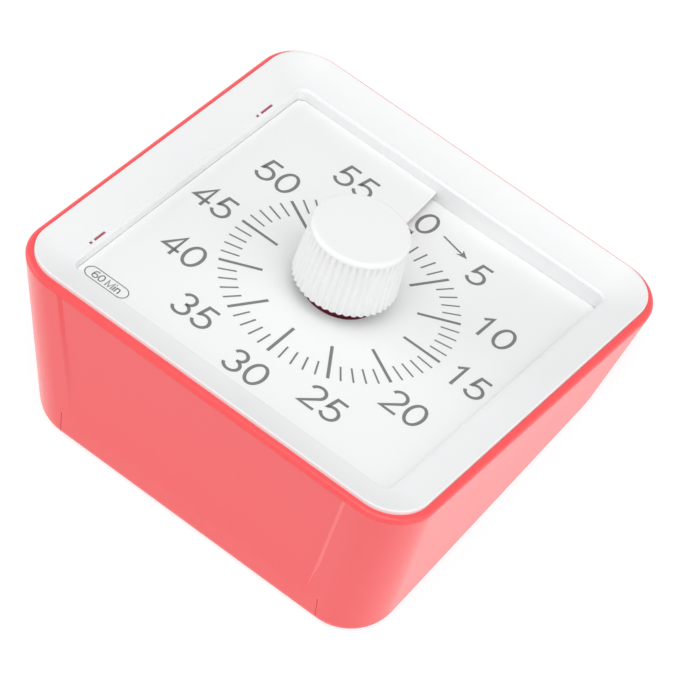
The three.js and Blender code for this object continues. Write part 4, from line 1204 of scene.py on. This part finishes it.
def build_floor():
    deselect()
    bpy.ops.mesh.primitive_plane_add(size=FLOOR_SIZE)
    floor = bpy.context.object
    floor.name = "floor"
    material = bpy.data.materials.new("pale_floor")
    material.use_nodes = True
    nodes, links = material.node_tree.nodes, material.node_tree.links
    seen_white = nodes["Principled BSDF"]
    seen_white.inputs["Base Color"].default_value = (0.35, 0.35, 0.35, 1)
    seen_white.inputs["Roughness"].default_value = 0.9
    seen_white.inputs["Specular IOR Level"].default_value = 0
    seen_white.inputs["Emission Color"].default_value = (1, 1, 1, 1)
    seen_white.inputs["Emission Strength"].default_value = 0.75
    plain = nodes.new("ShaderNodeBsdfDiffuse")
    plain.inputs["Color"].default_value = (0.9, 0.9, 0.9, 1)
    blend = nodes.new("ShaderNodeMixShader")
    links.new(camera_rays(nodes, links), blend.inputs[0])
    links.new(plain.outputs[0], blend.inputs[1])
    links.new(seen_white.outputs[0], blend.inputs[2])
    links.new(blend.outputs[0], nodes["Material Output"].inputs["Surface"])
    floor.data.materials.append(material)


def build_sky(strength):
    world = bpy.context.scene.world or bpy.data.worlds.new("even_light")
    bpy.context.scene.world = world
    world.use_nodes = True
    nodes, links = world.node_tree.nodes, world.node_tree.links
    nodes.clear()
    light = nodes.new("ShaderNodeBackground")
    light.inputs["Strength"].default_value = strength
    white = nodes.new("ShaderNodeBackground")
    white.inputs["Color"].default_value = (1, 1, 1, 1)
    light.inputs["Color"].default_value = (1, 1, 1, 1)
    blend = nodes.new("ShaderNodeMixShader")
    links.new(camera_rays(nodes, links), blend.inputs[0])
    links.new(light.outputs[0], blend.inputs[1])
    links.new(white.outputs[0], blend.inputs[2])
    output = nodes.new("ShaderNodeOutputWorld")
    links.new(blend.outputs[0], output.inputs["Surface"])


def build_lamp(stage, name, azimuth, elevation):
    """A wide soft lamp at an azimuth from the front and a height above the floor, in degrees."""
    deselect()
    towards = direction(math.radians(azimuth), math.radians(elevation))
    bpy.ops.object.light_add(type="AREA", location=Vector(stage.aim) + towards * stage.lamp_distance)
    lamp = bpy.context.object
    lamp.name = name
    lamp.data.size = stage.lamp_size
    lamp.data.energy = getattr(stage, name)
    lamp.rotation_euler = towards.to_track_quat("Z", "Y").to_euler()


def direction(azimuth, elevation):
    """Unit vector from the object at an azimuth from the front and a height above the floor."""
    level = math.cos(elevation)
    return Vector((math.sin(azimuth) * level, -math.cos(azimuth) * level, math.sin(elevation)))


def build_camera(stage):
    back = direction(stage.azimuth, stage.elevation)
    deselect()
    bpy.ops.object.camera_add(location=Vector(stage.aim) + back * stage.distance)
    camera = bpy.context.object
    camera.name = "photo_camera"
    turn = back.to_track_quat("Z", "Y") @ Matrix.Rotation(-stage.roll, 4, "Z").to_quaternion()
    camera.rotation_euler = turn.to_euler()
    camera.data.lens = stage.lens
    camera.data.sensor_width = 36
    camera.data.clip_start = 0.01
    bpy.context.scene.camera = camera


class TIMER_PT_panel(Panel):
    """Lists the steps that model the timer"""
    bl_idname = "TIMER_PT_panel"
    bl_label = "Timer"
    bl_space_type = "VIEW_3D"
    bl_region_type = "UI"
    bl_category = "Timer"

    def draw(self, context):
        for step in STEPS:
            self.layout.operator(step.bl_idname)


STEPS = (
    TIMER_OT_finishes,
    TIMER_OT_case,
    TIMER_OT_bezel,
    TIMER_OT_dial,
    TIMER_OT_printing,
    TIMER_OT_knob,
    TIMER_OT_cover_screws,
    TIMER_OT_inner_parts,
    TIMER_OT_stage,
)
SETTINGS = {
    "timer_stage": StageSettings,
    "timer_case": CaseSettings,
    "timer_dial": DialSettings,
    "timer_knob": KnobSettings,
}


def register():
    for group in SETTINGS.values():
        bpy.utils.register_class(group)
    for name, group in SETTINGS.items():
        setattr(bpy.types.Scene, name, PointerProperty(type=group))
    for step in (*STEPS, TIMER_PT_panel):
        bpy.utils.register_class(step)


def unregister():
    for step in (*STEPS, TIMER_PT_panel):
        bpy.utils.unregister_class(step)
    for name, group in SETTINGS.items():
        delattr(bpy.types.Scene, name)
        bpy.utils.unregister_class(group)


def main():
    register()
    for step in STEPS:
        family, name = step.bl_idname.split(".")
        getattr(getattr(bpy.ops, family), name)()


if __name__ == "__main__":
    main()
